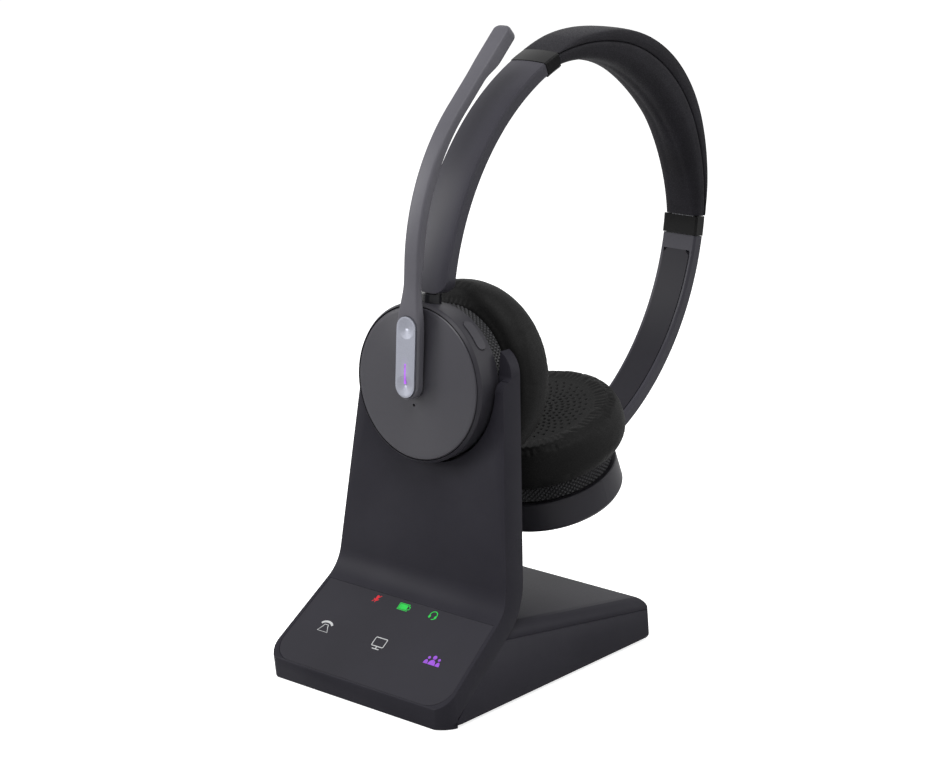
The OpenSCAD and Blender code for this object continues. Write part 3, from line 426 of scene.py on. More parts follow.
SMALL_ROW = 30.9
LARGE_ROW = 15.9
place_mark("symbol_muted", [
    block_mark(0, 0.5, 1.0, 1.9, 0.45),
    line_mark([(arc(0, 0.4, 1.0, 200, 340), False), ([(0, -0.6), (0, -1.3)], False),
               ([(-1.2, -1.2), (1.3, 1.5)], False)], 0.32)], -12.2, SMALL_ROW, red_ink)
place_mark("symbol_battery", [
    block_mark(-0.3, 0, 3.3, 1.9, 0.2),
    line_mark([([(-2.2, -1.2), (1.7, -1.2), (1.7, -0.6), (2.3, -0.5), (2.3, 0.5), (1.7, 0.6),
                 (1.7, 1.2), (-2.2, 1.2)], True)], 0.34)], -0.5, SMALL_ROW, green_ink)
place_mark("symbol_headset", [
    line_mark([(arc(0, 0.2, 1.35, -30, 210), False),
               ([(1.2, -0.5), (0.9, -1.2), (0.1, -1.5)], False)], 0.34),
    disc_mark(-1.15, -0.5, 0.42, 1.4), disc_mark(1.15, -0.5, 0.42, 1.4)],
    11.6, SMALL_ROW, green_ink)
place_mark("symbol_phone", [
    line_mark([(arc(0, 0.7, 2.3, 15, 165, squash=0.62), False)], 0.85),
    disc_mark(-2.2, 1.05, 0.62), disc_mark(2.2, 1.05, 0.62),
    line_mark([([(-0.75, 1.0), (0.75, 1.0), (1.0, 0.2), (2.1, -1.7), (-2.1, -1.7),
                 (-1.0, 0.2)], True)], 0.36)], -23.4, LARGE_ROW, white_ink)
place_mark("symbol_screen", [
    line_mark([([(-2.1, -1.0), (2.1, -1.0), (2.35, -0.75), (2.35, 1.95), (2.1, 2.2),
                 (-2.1, 2.2), (-2.35, 1.95), (-2.35, -0.75)], True),
               ([(0, -1.0), (0, -1.9)], False), ([(-1.4, -2.0), (1.4, -2.0)], False)],
              0.36)], -0.4, LARGE_ROW, white_ink)
place_mark("symbol_meeting", [
    disc_mark(0, 1.3, 0.72), disc_mark(-2.0, 0.85, 0.5), disc_mark(2.0, 0.85, 0.5),
    shoulder_mark(0, -1.5, 1.35, 1.9), shoulder_mark(-2.35, -1.5, 0.78, 1.55),
    shoulder_mark(2.35, -1.5, 0.78, 1.55)], 22.1, LARGE_ROW, purple_ink)


# ---- Stand: charge pins and magnet ----
# Two gold-plated spring pins stand in the cradle, and a nickel-plated
# magnet behind the wall pulls the cup home.

pin_gold = metal("gold_plated_brass", "#d3ac55", rough=(0.18, 0.28))
magnet_nickel = metal("nickel_plated_magnet", "#b0b1b4", rough=(0.2, 0.3))
finish_nodes(["charge_pins", "contact_pads"], pin_gold)
finish_nodes(["dock_magnet"], magnet_nickel)


# ---- Ear cups: cap and rim ----
# Each cap is a shallow cone, brushed in circles under its paint, so light opens
# on it like a fan.  The rim behind it is moulded in the same dark tone and
# holds one oblong button.

CUP_1 = Matrix(((1, 0, 0, 0), (0, 0.04362, -0.99905, -21.258 * MM),
                (0, 0.99905, 0.04362, 96.3 * MM), (0, 0, 0, 1)))
CUP_2 = Matrix(((-1, 0, 0, 0), (0, 0.95372, 0.30071, 45.384 * MM),
                (0, 0.30071, -0.95372, 45.164 * MM), (0, 0, 0, 1)))


def cap_finish(name, place):
    """Fine circular brushing under paint, which opens the light into a fan."""
    made, tree = new_material(name)
    where = add(tree, "TexCoord").outputs["Object"]
    arm = add(tree, "VectorMath", {"operation": "SUBTRACT", 1: place.translation},
              {0: where}).outputs["Vector"]
    axis = place.col[2].to_3d()
    depth = add(tree, "VectorMath", {"operation": "DOT_PRODUCT", 1: axis}, {0: arm})
    along = add(tree, "VectorMath", {"operation": "SCALE", 0: axis},
                {"Scale": depth.outputs["Value"]}).outputs["Vector"]
    spoke = add(tree, "VectorMath", {"operation": "SUBTRACT"}, {0: arm, 1: along})
    reach = add(tree, "VectorMath", {"operation": "LENGTH"}, {0: spoke.outputs["Vector"]})
    lines = add(tree, "TexNoise", {"noise_dimensions": "1D", "Scale": 1 / (0.12 * MM),
                                   "Detail": 2.0}, {"W": reach.outputs["Value"]})
    tone = ramp(tree, lines.outputs["Fac"], 0.2, 0.8, srgb("#363539"), srgb("#3b3a41"))
    gloss = add(tree, "MapRange", {"To Min": 0.34, "To Max": 0.42},
                {"Value": lines.outputs["Fac"]})
    shader = add(tree, "BsdfPrincipled", {"Anisotropic": 0.6, "Specular IOR Level": 0.35},
                 {"Base Color": tone, "Roughness": gloss.outputs["Result"],
                  "Tangent": spoke.outputs["Vector"]})
    add(tree, "OutputMaterial", links={"Surface": shader.outputs["BSDF"]})
    return made


finish_nodes(["cup1_cap"], cap_finish("brushed_painted_cap_1", CUP_1))
finish_nodes(["cup2_cap"], cap_finish("brushed_painted_cap_2", CUP_2))
rim_pc = moulded("moulded_satin_rim", "#2d2c31", "#323136", grain=0.3, depth=0.02,
                 rough=(0.36, 0.44), specular=0.15)
finish_nodes(["cup1_rim", "cup2_rim"], rim_pc)
key_pc = moulded("moulded_key", "#38373c", "#3d3c41", grain=0.3, depth=0.02,
                 rough=(0.42, 0.5), specular=0.18)
finish_nodes(["rim_button"], key_pc)


# ---- Ear cups: knurled rubber waist ----
# The waist between rim and cushion is black rubber, moulded with rows of
# small raised diamonds that give the fingers hold.

RIM_BACK = -10.4
WAIST_BACK = -16.6
WAIST_R = 23.2
KNURLS = 84
KNURL_H = 0.5
KNURL_LAND = 0.35
KNURL_ROW = 1.55
KNURL_FLAT = 1.2
GRID_PER_KNURL = 8
GRID_HIGH = 32
WAIST_WALL = 1.4


def wave(value):
    """Peaks at 1 on every whole number and falls to 0 between them."""
    return abs(2 * (value % 1) - 1)


bpy.ops.mesh.primitive_grid_add(x_subdivisions=KNURLS * GRID_PER_KNURL,
                                y_subdivisions=GRID_HIGH, size=1)
waist = bpy.context.view_layer.objects.active
for vertex in waist.data.vertices:
    turn = (vertex.co.x + 0.5) * KNURLS
    row = (vertex.co.y + 0.5) * (RIM_BACK - WAIST_BACK)
    land = min(row, RIM_BACK - WAIST_BACK - row)
    diamond = min(wave(turn + row / KNURL_ROW), wave(turn - row / KNURL_ROW))
    height = KNURL_H * min(1, diamond * KNURL_FLAT) * (1 if land > KNURL_LAND else 0)
    radius = (WAIST_R - KNURL_H + height) * MM
    angle = 2 * math.pi * turn / KNURLS
    vertex.co = (radius * math.cos(angle), radius * math.sin(angle), (WAIST_BACK + row) * MM)
bpy.ops.object.mode_set(mode="EDIT")
bpy.ops.mesh.select_all(action="SELECT")
bpy.ops.mesh.remove_doubles(threshold=0.01 * MM)
bpy.ops.mesh.normals_make_consistent(inside=False)
bpy.ops.object.mode_set(mode="OBJECT")
wall = waist.modifiers.new("wall", "SOLIDIFY")
wall.thickness = WAIST_WALL * MM
wall.offset = -1
bpy.ops.object.modifier_apply(modifier="wall")

# Painted shade: the valleys between the diamonds are coloured this near-black.
VALLEY_SHADE = "#0c0c0d"


def mark_knurls(piece):
    """Stores how high each point of the waist stands, from 0 to 1."""
    tops = [(math.hypot(v.co.x, v.co.y) / MM - WAIST_R + KNURL_H) / KNURL_H
            for v in piece.data.vertices]
    mark = piece.data.attributes.new("knurl", "FLOAT", "POINT")
    mark.data.foreach_set("value", [min(1.0, max(0.0, top)) for top in tops])


def knurled_rubber():
    """Moulded rubber, with painted shade that darkens it between its diamonds."""
    made = moulded("moulded_black_rubber", "#3a3a3d", "#424245", grain=0.5, depth=0.02,
                   rough=(0.42, 0.54), specular=0.25)
    tree = made.node_tree
    shader = next(node for node in tree.nodes if node.type == "BSDF_PRINCIPLED")
    height = add(tree, "Attribute", {"attribute_name": "knurl"}).outputs["Fac"]
    # Painted shade: the colour darkens towards the valleys, following the stored height.
    painted_valley_shade = add(tree, "Mix", {"data_type": "RGBA"}, {"Factor": height})
    painted_valley_shade.inputs[6].default_value = srgb(VALLEY_SHADE)
    tree.links.new(shader.inputs["Base Color"].links[0].from_socket, painted_valley_shade.inputs[7])
    tree.links.new(painted_valley_shade.outputs[2], shader.inputs["Base Color"])
    return made


mark_knurls(waist)
waist.data.materials.append(knurled_rubber())


def copy_to(piece, name, place):
    """A copy with its own mesh, placed in that mesh."""
    made = piece.copy()
    made.data = piece.data.copy()
    bpy.context.scene.collection.objects.link(made)
    settle(made, name, place)
    return made


for number, place in ((1, CUP_1), (2, CUP_2)):
    ring = copy_to(waist, f"waist_{number}", place)
    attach(ring, f"cup{number}")
    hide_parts(f"cup{number}_waist")
bpy.data.objects.remove(waist)


# ---- Ear cups: baffle, loudspeaker and battery ----
# These sit inside the cup: a moulded baffle, a loudspeaker with a stamped
# basket, and a foil-wrapped cell in the second cup.

inner_abs = moulded("moulded_inner_abs", "#202023", "#262629", grain=0.6, depth=0.05,
                    rough=(0.5, 0.62))
basket_steel = metal("stamped_steel_basket", "#8b8d93", rough=(0.3, 0.45))
cell_foil = metal("laminate_cell_foil", "#b4b6bb", rough=(0.3, 0.5), grain=1.5)
finish_nodes(["cup1_baffle", "cup2_baffle"], inner_abs)
finish_nodes(["cup1_driver", "cup2_driver"], basket_steel)
finish_nodes(["cup2_battery"], cell_foil)


# ---- Ear cups: cushions ----
# A foam ring in fine black leatherette.  Its side is one panel, sewn to a
# flat face in which small holes stand in staggered rings; the foam pushes
# the side out between its seams.

CUSHION_BACK = -16.95
SEAM_R = 25.4
FACE_Z = -32.3
FACE_R = 20.6
FACE_CROWN = 0.35
FACE_PITCH = 0.26
SIDE = [(21.8, CUSHION_BACK), (24.6, CUSHION_BACK), (26.6, -17.3), (28.1, -18.3), (28.95, -20.1),
        (29.3, -22.4), (29.25, -24.9), (28.9, -27.2), (28.2, -29.1), (27.2, -30.7),
        (26.1, -31.7), (SEAM_R, -31.95)]
FACE = [(24.9, -32.25), (24.0, -32.6), (22.5, -32.65), (FACE_R, FACE_Z)]
SIDE_STEPS = 30
FACE_STEPS = 10
SIM_TURNS = 160
FINE = 3
TURNS = SIM_TURNS * FINE
SWELL_CAP = 0.45
HOLE_RINGS = 8
HOLE_OUT = 18.2
HOLE_STEP = 1.95
HOLE_DEPTH = 0.55


def smooth_path(points, steps):
    """Points evenly spaced on a smooth curve through the given ones."""
    knots = np.array(points, float)
    span = np.r_[0, np.cumsum(np.linalg.norm(np.diff(knots, axis=0), axis=1))]
    fine = np.linspace(0, span[-1], 400)
    curve = np.stack([np.interp(fine, span, knots[:, k]) for k in (0, 1)], 1)
    for _ in range(60):
        curve[1:-1] = (curve[:-2] + 2 * curve[1:-1] + curve[2:]) / 4
    length = np.r_[0, np.cumsum(np.linalg.norm(np.diff(curve, axis=0), axis=1))]
    pick = np.linspace(0, length[-1], steps + 1)
    return np.stack([np.interp(pick, length, curve[:, k]) for k in (0, 1)], 1)


def turned_rows(profile, turns):
    """Turns a profile of (radius, height) into rows of points."""
    angle = np.arange(turns) * 2 * math.pi / turns
    ring = np.stack([np.cos(angle), np.sin(angle)], 1)
    return np.array([np.c_[ring * r, np.full(turns, z)] for r, z in profile])


profile = np.r_[smooth_path(SIDE, SIDE_STEPS), smooth_path([SIDE[-1]] + FACE, FACE_STEPS)[1:]]
seam_row = SIDE_STEPS
swell = np.zeros((len(profile), SIM_TURNS, 3))
# The leatherette is a cloth under the foam's pressure, held at its seams.
# The pass runs at ten times the size, where the solver is steady.
SIM_SCALE = 10 * MM
rows = turned_rows(profile, SIM_TURNS)
shell = grid_mesh("cushion_pass", rows * SIM_SCALE)
held = shell.vertex_groups.new(name="held")
for row in (0, 1, 2, seam_row, len(profile) - 2, len(profile) - 1):
    held.add(list(range(row * SIM_TURNS, (row + 1) * SIM_TURNS)), 1.0, "REPLACE")
skin = shell.modifiers.new("skin", "CLOTH")
skin.settings.effector_weights.gravity = 0
skin.settings.quality = 6
skin.settings.use_pressure = True
skin.settings.uniform_pressure_force = -3.0
skin.settings.vertex_group_mass = "held"
skin.settings.mass = 0.3
skin.settings.tension_stiffness = 18
skin.settings.compression_stiffness = 18
skin.settings.bending_stiffness = 1.0
skin.settings.shrink_min = -0.03
skin.point_cache.frame_start = 1
skin.point_cache.frame_end = 16
for step in range(1, 17):
    bpy.context.scene.frame_set(step)
bpy.ops.object.modifier_apply(modifier="skin")
bpy.context.scene.frame_set(1)
settled = np.array([v.co for v in shell.data.vertices]).reshape(rows.shape) / SIM_SCALE
swell = settled - rows
size = np.linalg.norm(swell, axis=2, keepdims=True)
swell *= np.minimum(1, SWELL_CAP / np.maximum(size, 1e-9))
bpy.data.objects.remove(shell)

coarse = np.arange(SIM_TURNS + 1) / SIM_TURNS
fine = np.arange(TURNS) / TURNS
angle = fine * 2 * math.pi
body_rows = turned_rows(profile, TURNS)
for i in range(len(profile)):
    for k in range(3):
        body_rows[i, :, k] += np.interp(fine, coarse, np.r_[swell[i, :, k], swell[i, 0, k]])
# Soft folds run across the seam, where the leatherette is gathered.
random.seed(7)
folds = [(random.randint(17, 43), random.uniform(0, 6.28), random.uniform(0.4, 1.0))
         for _ in range(5)]
fold = sum(a * np.sin(n * angle + p) for n, p, a in folds) / len(folds)
for i in range(seam_row - 9, seam_row + 4):
    near = math.exp(-((i - seam_row + 2) / 3.0) ** 2)
    body_rows[i, :, 2] += 0.09 * near * fold

# The perforated middle is a fine polar grid, pressed in at each hole.
radii = np.r_[np.arange(FACE_R - FACE_PITCH, 2.0, -FACE_PITCH), 1.6, 1.1, 0.6, 0.2]
face_rows = turned_rows([(r, FACE_Z + FACE_CROWN * (1 - (r / FACE_R) ** 2)) for r in radii],
                        TURNS)
pit = np.zeros(face_rows.shape[:2])
grid = face_rows[:, :, :2]
for ring in range(HOLE_RINGS + 1):
    reach = HOLE_OUT - ring * HOLE_STEP
    count = 36 if reach > 8.5 else 24 if reach > 5 else 12
    hole_r = 0.33 + 0.02 * ring
    for k in range(count):
        a = 2 * math.pi * (k + 0.5 * (ring % 2)) / count
        middle = np.array([reach * math.cos(a), reach * math.sin(a)])
        gap = np.linalg.norm(grid - middle, axis=2)
        pit = np.maximum(pit, np.clip((hole_r + 0.14 - gap) / 0.28, 0, 1))
face_rows[:, :, 2] += pit * HOLE_DEPTH
all_rows = np.concatenate([body_rows, face_rows])
cushion = from_rows("cushion", all_rows)
depth = np.concatenate([np.zeros(body_rows.shape[:2]), pit]).reshape(-1)
mark = cushion.data.attributes.new("hole", "FLOAT", "POINT")
mark.data.foreach_set("value", depth.astype(np.float32))
bpy.ops.object.shade_smooth_by_angle(angle=math.radians(50))


def leatherette(name, dark, light, grain=0.75, depth=0.05, rough=(0.5, 0.62), holes=False):
    """Coated fabric with an embossed pebble grain.

    The pebbles are cells of the grain's width in mm, drawn about twice as
    coarse as real so that they show, and their tops shine a little more.
    The creases between the pebbles are painted darker: painted shade.
    """
    made, tree = new_material(name)
    place = add(tree, "TexCoord").outputs["Object"]
    bend = add(tree, "TexNoise", {"Scale": 1 / (2.5 * MM), "Detail": 2.0}, {"Vector": place})
    warp = add(tree, "VectorMath", {"operation": "MULTIPLY_ADD", 1: (grain * MM,) * 3},
               {0: bend.outputs["Color"], 2: place})
    cells = add(tree, "TexVoronoi", {"feature": "DISTANCE_TO_EDGE", "Scale": 1 / (grain * MM)},
                {"Vector": warp.outputs["Vector"]}).outputs["Distance"]
    top = add(tree, "MapRange", {"From Max": 0.28, "interpolation_type": "SMOOTHSTEP"},
              {"Value": cells}).outputs["Result"]
    cloud = add(tree, "TexNoise", {"Scale": 1 / (14 * MM), "Detail": 3.0},
                {"Vector": place}).outputs["Fac"]
    tone = ramp(tree, cloud, 0.3, 0.7, srgb(dark), srgb(light))
    # Painted shade: the colour is darkened towards the creases between the pebbles.
    painted_crease_shade = add(tree, "Mix", {"data_type": "RGBA", "blend_type": "MULTIPLY", "Factor": 1.0})
    tree.links.new(tone, painted_crease_shade.inputs[6])
    tree.links.new(ramp(tree, top, 0.0, 1.0, (0.7, 0.7, 0.7, 1), (1, 1, 1, 1)), painted_crease_shade.inputs[7])
    colour = painted_crease_shade.outputs[2]
    if holes:
        # Painted shade: each hole is coloured near-black, standing in for the shade inside it.
        pits = add(tree, "Attribute", {"attribute_name": "hole"}).outputs["Fac"]
        painted_hole_shade = add(tree, "Mix", {"data_type": "RGBA"}, {"Factor": pits})
        tree.links.new(colour, painted_hole_shade.inputs[6])
        painted_hole_shade.inputs[7].default_value = srgb("#030303")
        colour = painted_hole_shade.outputs[2]
    gloss = add(tree, "MapRange", {"To Min": rough[1], "To Max": rough[0]}, {"Value": top})
    relief = add(tree, "Bump", {"Strength": 0.5, "Distance": depth * MM}, {"Height": top})
    shader = add(tree, "BsdfPrincipled", {"IOR": 1.47, "Specular IOR Level": 0.1},
                 {"Base Color": colour, "Roughness": gloss.outputs["Result"],
                  "Normal": relief.outputs["Normal"]})
    add(tree, "OutputMaterial", links={"Surface": shader.outputs["BSDF"]})
    return made


cushion.data.materials.append(
    leatherette("black_protein_leatherette", "#151515", "#1a1a1a", grain=0.6, depth=0.035,
                holes=True))
for number, place in ((1, CUP_1), (2, CUP_2)):
    pad = copy_to(cushion, f"ear_cushion_{number}", place)
    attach(pad, f"cup{number}")
    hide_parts(f"cup{number}_cushion")
bpy.data.objects.remove(cushion)


# ---- Boom: hub, arm, microphone and silver call button ----
# The boom is one satin moulding with a metal shaft; the call button is
# anodised aluminium with a dished cone at each end and a purple light line.

boom_pc = moulded("moulded_satin_boom", "#525157", "#59585e", grain=0.3, depth=0.02,
                   rough=(0.36, 0.44), specular=0.15)
# Sizes are in mm, in the docked cup's frame.  A pair is where a blend starts and
# ends: along the boom, or back from its tip for the two that start with MIC.
BOOM_Z = 4.2
BEND_FROM = 38.0
BEND_R = 68.0
BEND_A = math.radians(43.3)
TIP_L = 33.0
HUB_LOW = 4.4
HUB_W = 9.2
HUB_RISE = 0.8
HUB_UNDER = 2.5
BOOM_W = 6.0
BOOM_T = 3.4
MIC_T = 4.9
BOOM_RUN = BEND_FROM + BEND_R * BEND_A + TIP_L
TIP_R = 2.2
PILL_W = 7.6
PILL_LOW = 3.6
PILL_UP = 21.8
PILL_GAP = 0.15
POCKET_Z = 3.5
SHAFT_R = 3.46
SLOT_W = 1.2
SLOT_L = 11.0
SLOT_BACK = 2.6
SLIM = (17.0, 32.0)
LEVEL = (21.0, 33.0)
DEEPEN = (33.5, 38.0)
MIC_BROAD = (21.0, 13.0)
MIC_DEEP = (20.0, 11.0)
MIC_SPREAD = 0.25
EDGE_R = 0.95
PITCH = 0.8


def eased(value, start, stop):
    """0 before start, 1 after stop, and smooth between them."""
    share = min(1.0, max(0.0, (value - start) / (stop - start)))
    return share * share * (3 - 2 * share)


def boom_point(run):
    """Point and outward direction on the boom's front, in the cup's Y and Z."""
    turn = min(BEND_A, max(0.0, (run - BEND_FROM) / BEND_R))
    straight = min(run, BEND_FROM) - BEND_FROM
    past = max(0.0, run - BEND_FROM - BEND_R * BEND_A)
    out = (math.sin(turn), math.cos(turn))
    y = BEND_FROM + straight + BEND_R * out[0] + past * out[1]
    z = BOOM_Z - BEND_R + BEND_R * out[1] - past * out[0]
    return (y, z), out


def boom_section(run):
    """The boom's rounded section: broad at the cup, slim, and full at the tip."""
    half = HUB_W / 2 + (BOOM_W / 2 - HUB_W / 2) * eased(run, *SLIM)
    half += MIC_SPREAD * eased(run, BOOM_RUN - MIC_BROAD[0], BOOM_RUN - MIC_BROAD[1])
    high = HUB_RISE * (1 - eased(run, *LEVEL))
    low = -HUB_UNDER - (BOOM_T - HUB_UNDER) * eased(run, *DEEPEN)
    low -= (MIC_T - BOOM_T) * eased(run, BOOM_RUN - MIC_DEEP[0], BOOM_RUN - MIC_DEEP[1])
    foot = run + HUB_LOW
    if foot < HUB_W / 2:
        half *= math.sqrt(1 - (1 - foot / (HUB_W / 2)) ** 2)
    tip = BOOM_RUN - run
    if tip < TIP_R:
        inset = TIP_R - math.sqrt(TIP_R ** 2 - (TIP_R - tip) ** 2)
        half, high, low = half - inset * 0.9, high - inset * 0.35, low + inset * 0.5
    corner = min(EDGE_R, half * 0.9, (high - low) * 0.45)
    points = []
    for x, h, start in ((half, high, 0), (-half, high, 90), (-half, low, 180), (half, low, 270)):
        middle = (x - math.copysign(corner, x), h - corner if h == high else h + corner)
        points += arc(*middle, corner, start, start + 90, 6)
    return points


foot_runs = [-HUB_LOW + HUB_W / 2 * (1 - math.cos(math.pi / 2 * i / 14)) for i in range(14)]
foot_runs[0] += 0.02
tip_runs = [BOOM_RUN - TIP_R * (1 - math.sin(math.pi / 2 * i / 8)) for i in range(9)]
tip_runs[-1] -= 0.01
middle_runs = np.arange(HUB_W / 2 - HUB_LOW, BOOM_RUN - TIP_R - PITCH / 2, PITCH).tolist()
boom_rows = []
for run in foot_runs + middle_runs + tip_runs:
    (y, z), out = boom_point(run)
    boom_rows.append([(x, y + out[0] * h, z + out[1] * h) for x, h in boom_section(run)])
boom = from_rows("boom", boom_rows)
pocket_r = PILL_W / 2 + PILL_GAP
pocket = (arc(0, PILL_UP - PILL_W / 2, pocket_r, 0, 180, 24)
          + arc(0, PILL_W / 2 - PILL_LOW, pocket_r, 180, 360, 24))
combine(boom, prism(pocket, POCKET_Z, 9.0), "DIFFERENCE")
combine(boom, prism(arc(0, 0, SHAFT_R, 0, 352.5, 47), 0.0, POCKET_Z - 0.6), "DIFFERENCE")
slot_half = (SLOT_L - SLOT_W) / 2
slot_plan = (arc(0, slot_half, SLOT_W / 2, 0, 180, 12)
             + arc(0, -slot_half, SLOT_W / 2, 180, 360, 12))
slot = prism(slot_plan, -6.0, 6.0)
(y, z), out = boom_point(BOOM_RUN - SLOT_BACK - SLOT_L / 2)
along = (out[1], -out[0])
slot.data.transform(Matrix(((0, 0, 1, 0), (out[0], along[0], 0, (y - out[0] * MIC_T / 2) * MM),
                            (out[1], along[1], 0, (z - out[1] * MIC_T / 2) * MM),
                            (0, 0, 0, 1))))
combine(boom, slot, "DIFFERENCE")
pick(boom)
bpy.ops.object.shade_smooth_by_angle(angle=math.radians(32))
settle(boom, "boom_moulding", CUP_1)
boom.data.materials.append(boom_pc)
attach(boom, "boom")
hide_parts("boom_hub", "boom_arm", "mic_housing")
mic_cloth = metal("acoustic_mesh", "#5a5a56", rough=(0.5, 0.7), grain=0.25)
finish_nodes(["mic_capsule"], mic_cloth)
shaft_steel = metal("turned_steel_shaft", "#9b9ca1", rough=(0.25, 0.35))
finish_nodes(["boom_shaft", "boom_clip"], shaft_steel)

LIGHT_MIDDLE = CUP_1 @ Vector((0, 3.9 * MM, 5.6 * MM))
LIGHT_HALF = 3.4
GLOW_REACH = 2.4


def call_button_finish():
    """Bead-blasted, anodised aluminium, with painted purple light glowing on it near the light
    line.
    """
    made, tree = new_material("blasted_anodised_aluminium")
    place = add(tree, "TexCoord").outputs["Object"]
    grain = add(tree, "TexNoise", {"Scale": 1 / (0.35 * MM), "Detail": 2.0},
                {"Vector": place}).outputs["Fac"]
    tone = ramp(tree, grain, 0.2, 0.8, srgb("#8b8d97"), srgb("#9698a2"))
    offset = add(tree, "VectorMath", {"operation": "SUBTRACT", 1: LIGHT_MIDDLE},
                 {0: place}).outputs["Vector"]
    reach = add(tree, "VectorMath", {"operation": "MULTIPLY",
                                     1: (1 / (GLOW_REACH * MM), 0.0,
                                         1 / ((LIGHT_HALF + GLOW_REACH) * MM))},
                {0: offset}).outputs["Vector"]
    far = add(tree, "VectorMath", {"operation": "LENGTH"}, {0: reach}).outputs["Value"]
    # Painted light: the metal glows purple near the light line, as if lit by it.
    glow = ramp(tree, far, 0.0, 1.0, srgb("#b070e6"), (0, 0, 0, 1))
    gloss = add(tree, "MapRange", {"To Min": 0.42, "To Max": 0.52}, {"Value": grain})
    relief = add(tree, "Bump", {"Strength": 0.25, "Distance": 0.02 * MM}, {"Height": grain})
    shader = add(tree, "BsdfPrincipled", {"Metallic": 0.85, "Emission Strength": 0.16},
                 {"Base Color": tone, "Roughness": gloss.outputs["Result"],
                  "Normal": relief.outputs["Normal"], "Emission Color": glow})
    add(tree, "OutputMaterial", links={"Surface": shader.outputs["BSDF"]})
    return made


finish_nodes(["call_button"], call_button_finish())
finish_nodes(["call_light"], lit("lit_purple_guide", "#c56bff", 1.0))


# ---- Arms: shells, inner covers, sliders and pivots ----
# The arms are painted plastic shells with a cover let into the inner side.
# Each ends in a glossy round pivot at the cup and a steel strip in the band.

arm_paint = moulded("satin_painted_arm", "#36353b", "#3c3b42", grain=0.3, depth=0.015,
                    rough=(0.34, 0.42), specular=0.14, blotch=40.0)
cover_pc = moulded("satin_inner_cover", "#212025", "#26252a", grain=0.3, depth=0.015,
                   rough=(0.38, 0.46), specular=0.1, blotch=40.0)
finish_nodes(["arm1_shell", "arm2_shell"], arm_paint)
finish_nodes(["arm1_cover", "arm2_cover"], cover_pc)
strip_steel = metal("brushed_spring_steel", "#a5a6aa", rough=(0.25, 0.38), grain=0.5)
finish_nodes(["arm1_strip", "arm2_strip"], strip_steel)
pivot_gloss = moulded("polished_dark_pivot", "#1d1d20", "#232326", grain=0.6, depth=0.005,
                      rough=(0.18, 0.24), specular=0.25)
finish_nodes(["arm1_pivot", "arm2_pivot"], pivot_gloss)


# ---- Band: core and end rings ----
# A dark moulded spring core carries the padding, and a polished black ring
# closes each end of it.

core_pp = moulded("moulded_spring_core", "#232325", "#29292c", grain=0.6, depth=0.04,
                  rough=(0.45, 0.55))
ring_black = moulded("polished_black_ring", "#0b0b0b", "#101011", grain=0.8, depth=0.004,
                     rough=(0.12, 0.18), specular=0.15)
finish_nodes(["band_core"], core_pp)
finish_nodes(["band_rings"], ring_black)


# ---- Band: padded sleeve ----
# Leatherette over foam.  The upper skin wraps the core and is sewn to the
# lower pad along a seam that starts high at the rings and dips at the top
# of the head; the pad is thickest there and rounds off underneath.

TILT = math.radians(37.5)
BAND_TOP = Vector((0, 100.76, 186.32)) * MM
BAND = Matrix.Translation(BAND_TOP) @ Matrix.Rotation(-TILT, 4, "X")
TOP_R = 55.5
TOP_A = math.radians(31.8)
SIDE_R = 76.7
RING_A = math.radians(57.2)
BAND_STEPS = 150
END_GAP = 0.25
HALF_MID = 8.7
HALF_END = 7.15
CROWN = 1.25
PAD_MID = 14.9
PAD_END = 5.6


def band_point(share):
    """Point and outward direction on the band's outer curve, in mm.

    share runs from -1 at one ring to 1 at the other.
    """
    top_len = TOP_R * TOP_A
    side_len = SIDE_R * (RING_A - TOP_A) - END_GAP
    run = abs(share) * (top_len + side_len)
    if run <= top_len:
        angle = run / TOP_R
        middle, radius = (0.0, -TOP_R), TOP_R
    else:
        angle = TOP_A + (run - top_len) / SIDE_R
        reach = TOP_R - SIDE_R
        middle = (reach * math.sin(TOP_A), -TOP_R + reach * math.cos(TOP_A))
        radius = SIDE_R
    out = (math.sin(angle), math.cos(angle))
    side = 1 if share >= 0 else -1
    point = (side * (middle[0] + radius * out[0]), middle[1] + radius * out[1])
    return point, (side * out[0], out[1])


def swept(name, section):
    """Sweeps a section that changes along the band into a closed mesh.

    section(share) gives (across, outward) points, in mm.
    """
    rows = []
    for i in range(BAND_STEPS + 1):
        share = 2 * i / BAND_STEPS - 1
        point, out = band_point(share)
        rows.append([(x, point[0] + out[0] * h, point[1] + out[1] * h)
                     for x, h in section(share)])
    piece = from_rows(name, rows)
    bpy.ops.object.shade_smooth_by_angle(angle=math.radians(50))
    settle(piece, name, BAND)
    return piece


def half_width(share):
    """Half the sleeve's width: narrow at the rings, full over the head."""
    return HALF_END + (HALF_MID - HALF_END) * math.cos(share * math.pi / 2) ** 0.8


def seam_depth(share):
    """How far below the outer curve the seam runs."""
    return 0.9 + 4.2 * math.cos(share * math.pi / 2) ** 1.2


def pad_depth(share):
    """Depth of the pad's underside below the outer curve."""
    return PAD_END + (PAD_MID - PAD_END) * math.cos(share * math.pi / 2) ** 1.25


def skin_section(share):
    """Crowned top whose edges turn in at the seam."""
    half = half_width(share)
    seam = seam_depth(share)
    crown = CROWN * (0.25 + 0.75 * min(1, (1 - abs(share)) * 6))
    side = 16
    points = []
    for i in range(side + 1):
        x = half * math.cos(math.pi * i / side)
        points.append((x, crown * math.sin(math.pi * i / side) ** 0.6 - 0.55))
    edge = [(-half - 0.02, -seam * 0.5), (-half + 0.02, -seam + 0.35),
            (-half + 0.3, -seam + 0.06), (-half + 0.9, -seam + 0.02)]
    inner = [(-6.55, -min(seam, 0.75)), (6.55, -min(seam, 0.75))]
    mirror = [(-x, h) for x, h in reversed(edge)]
    return points + edge + inner + mirror


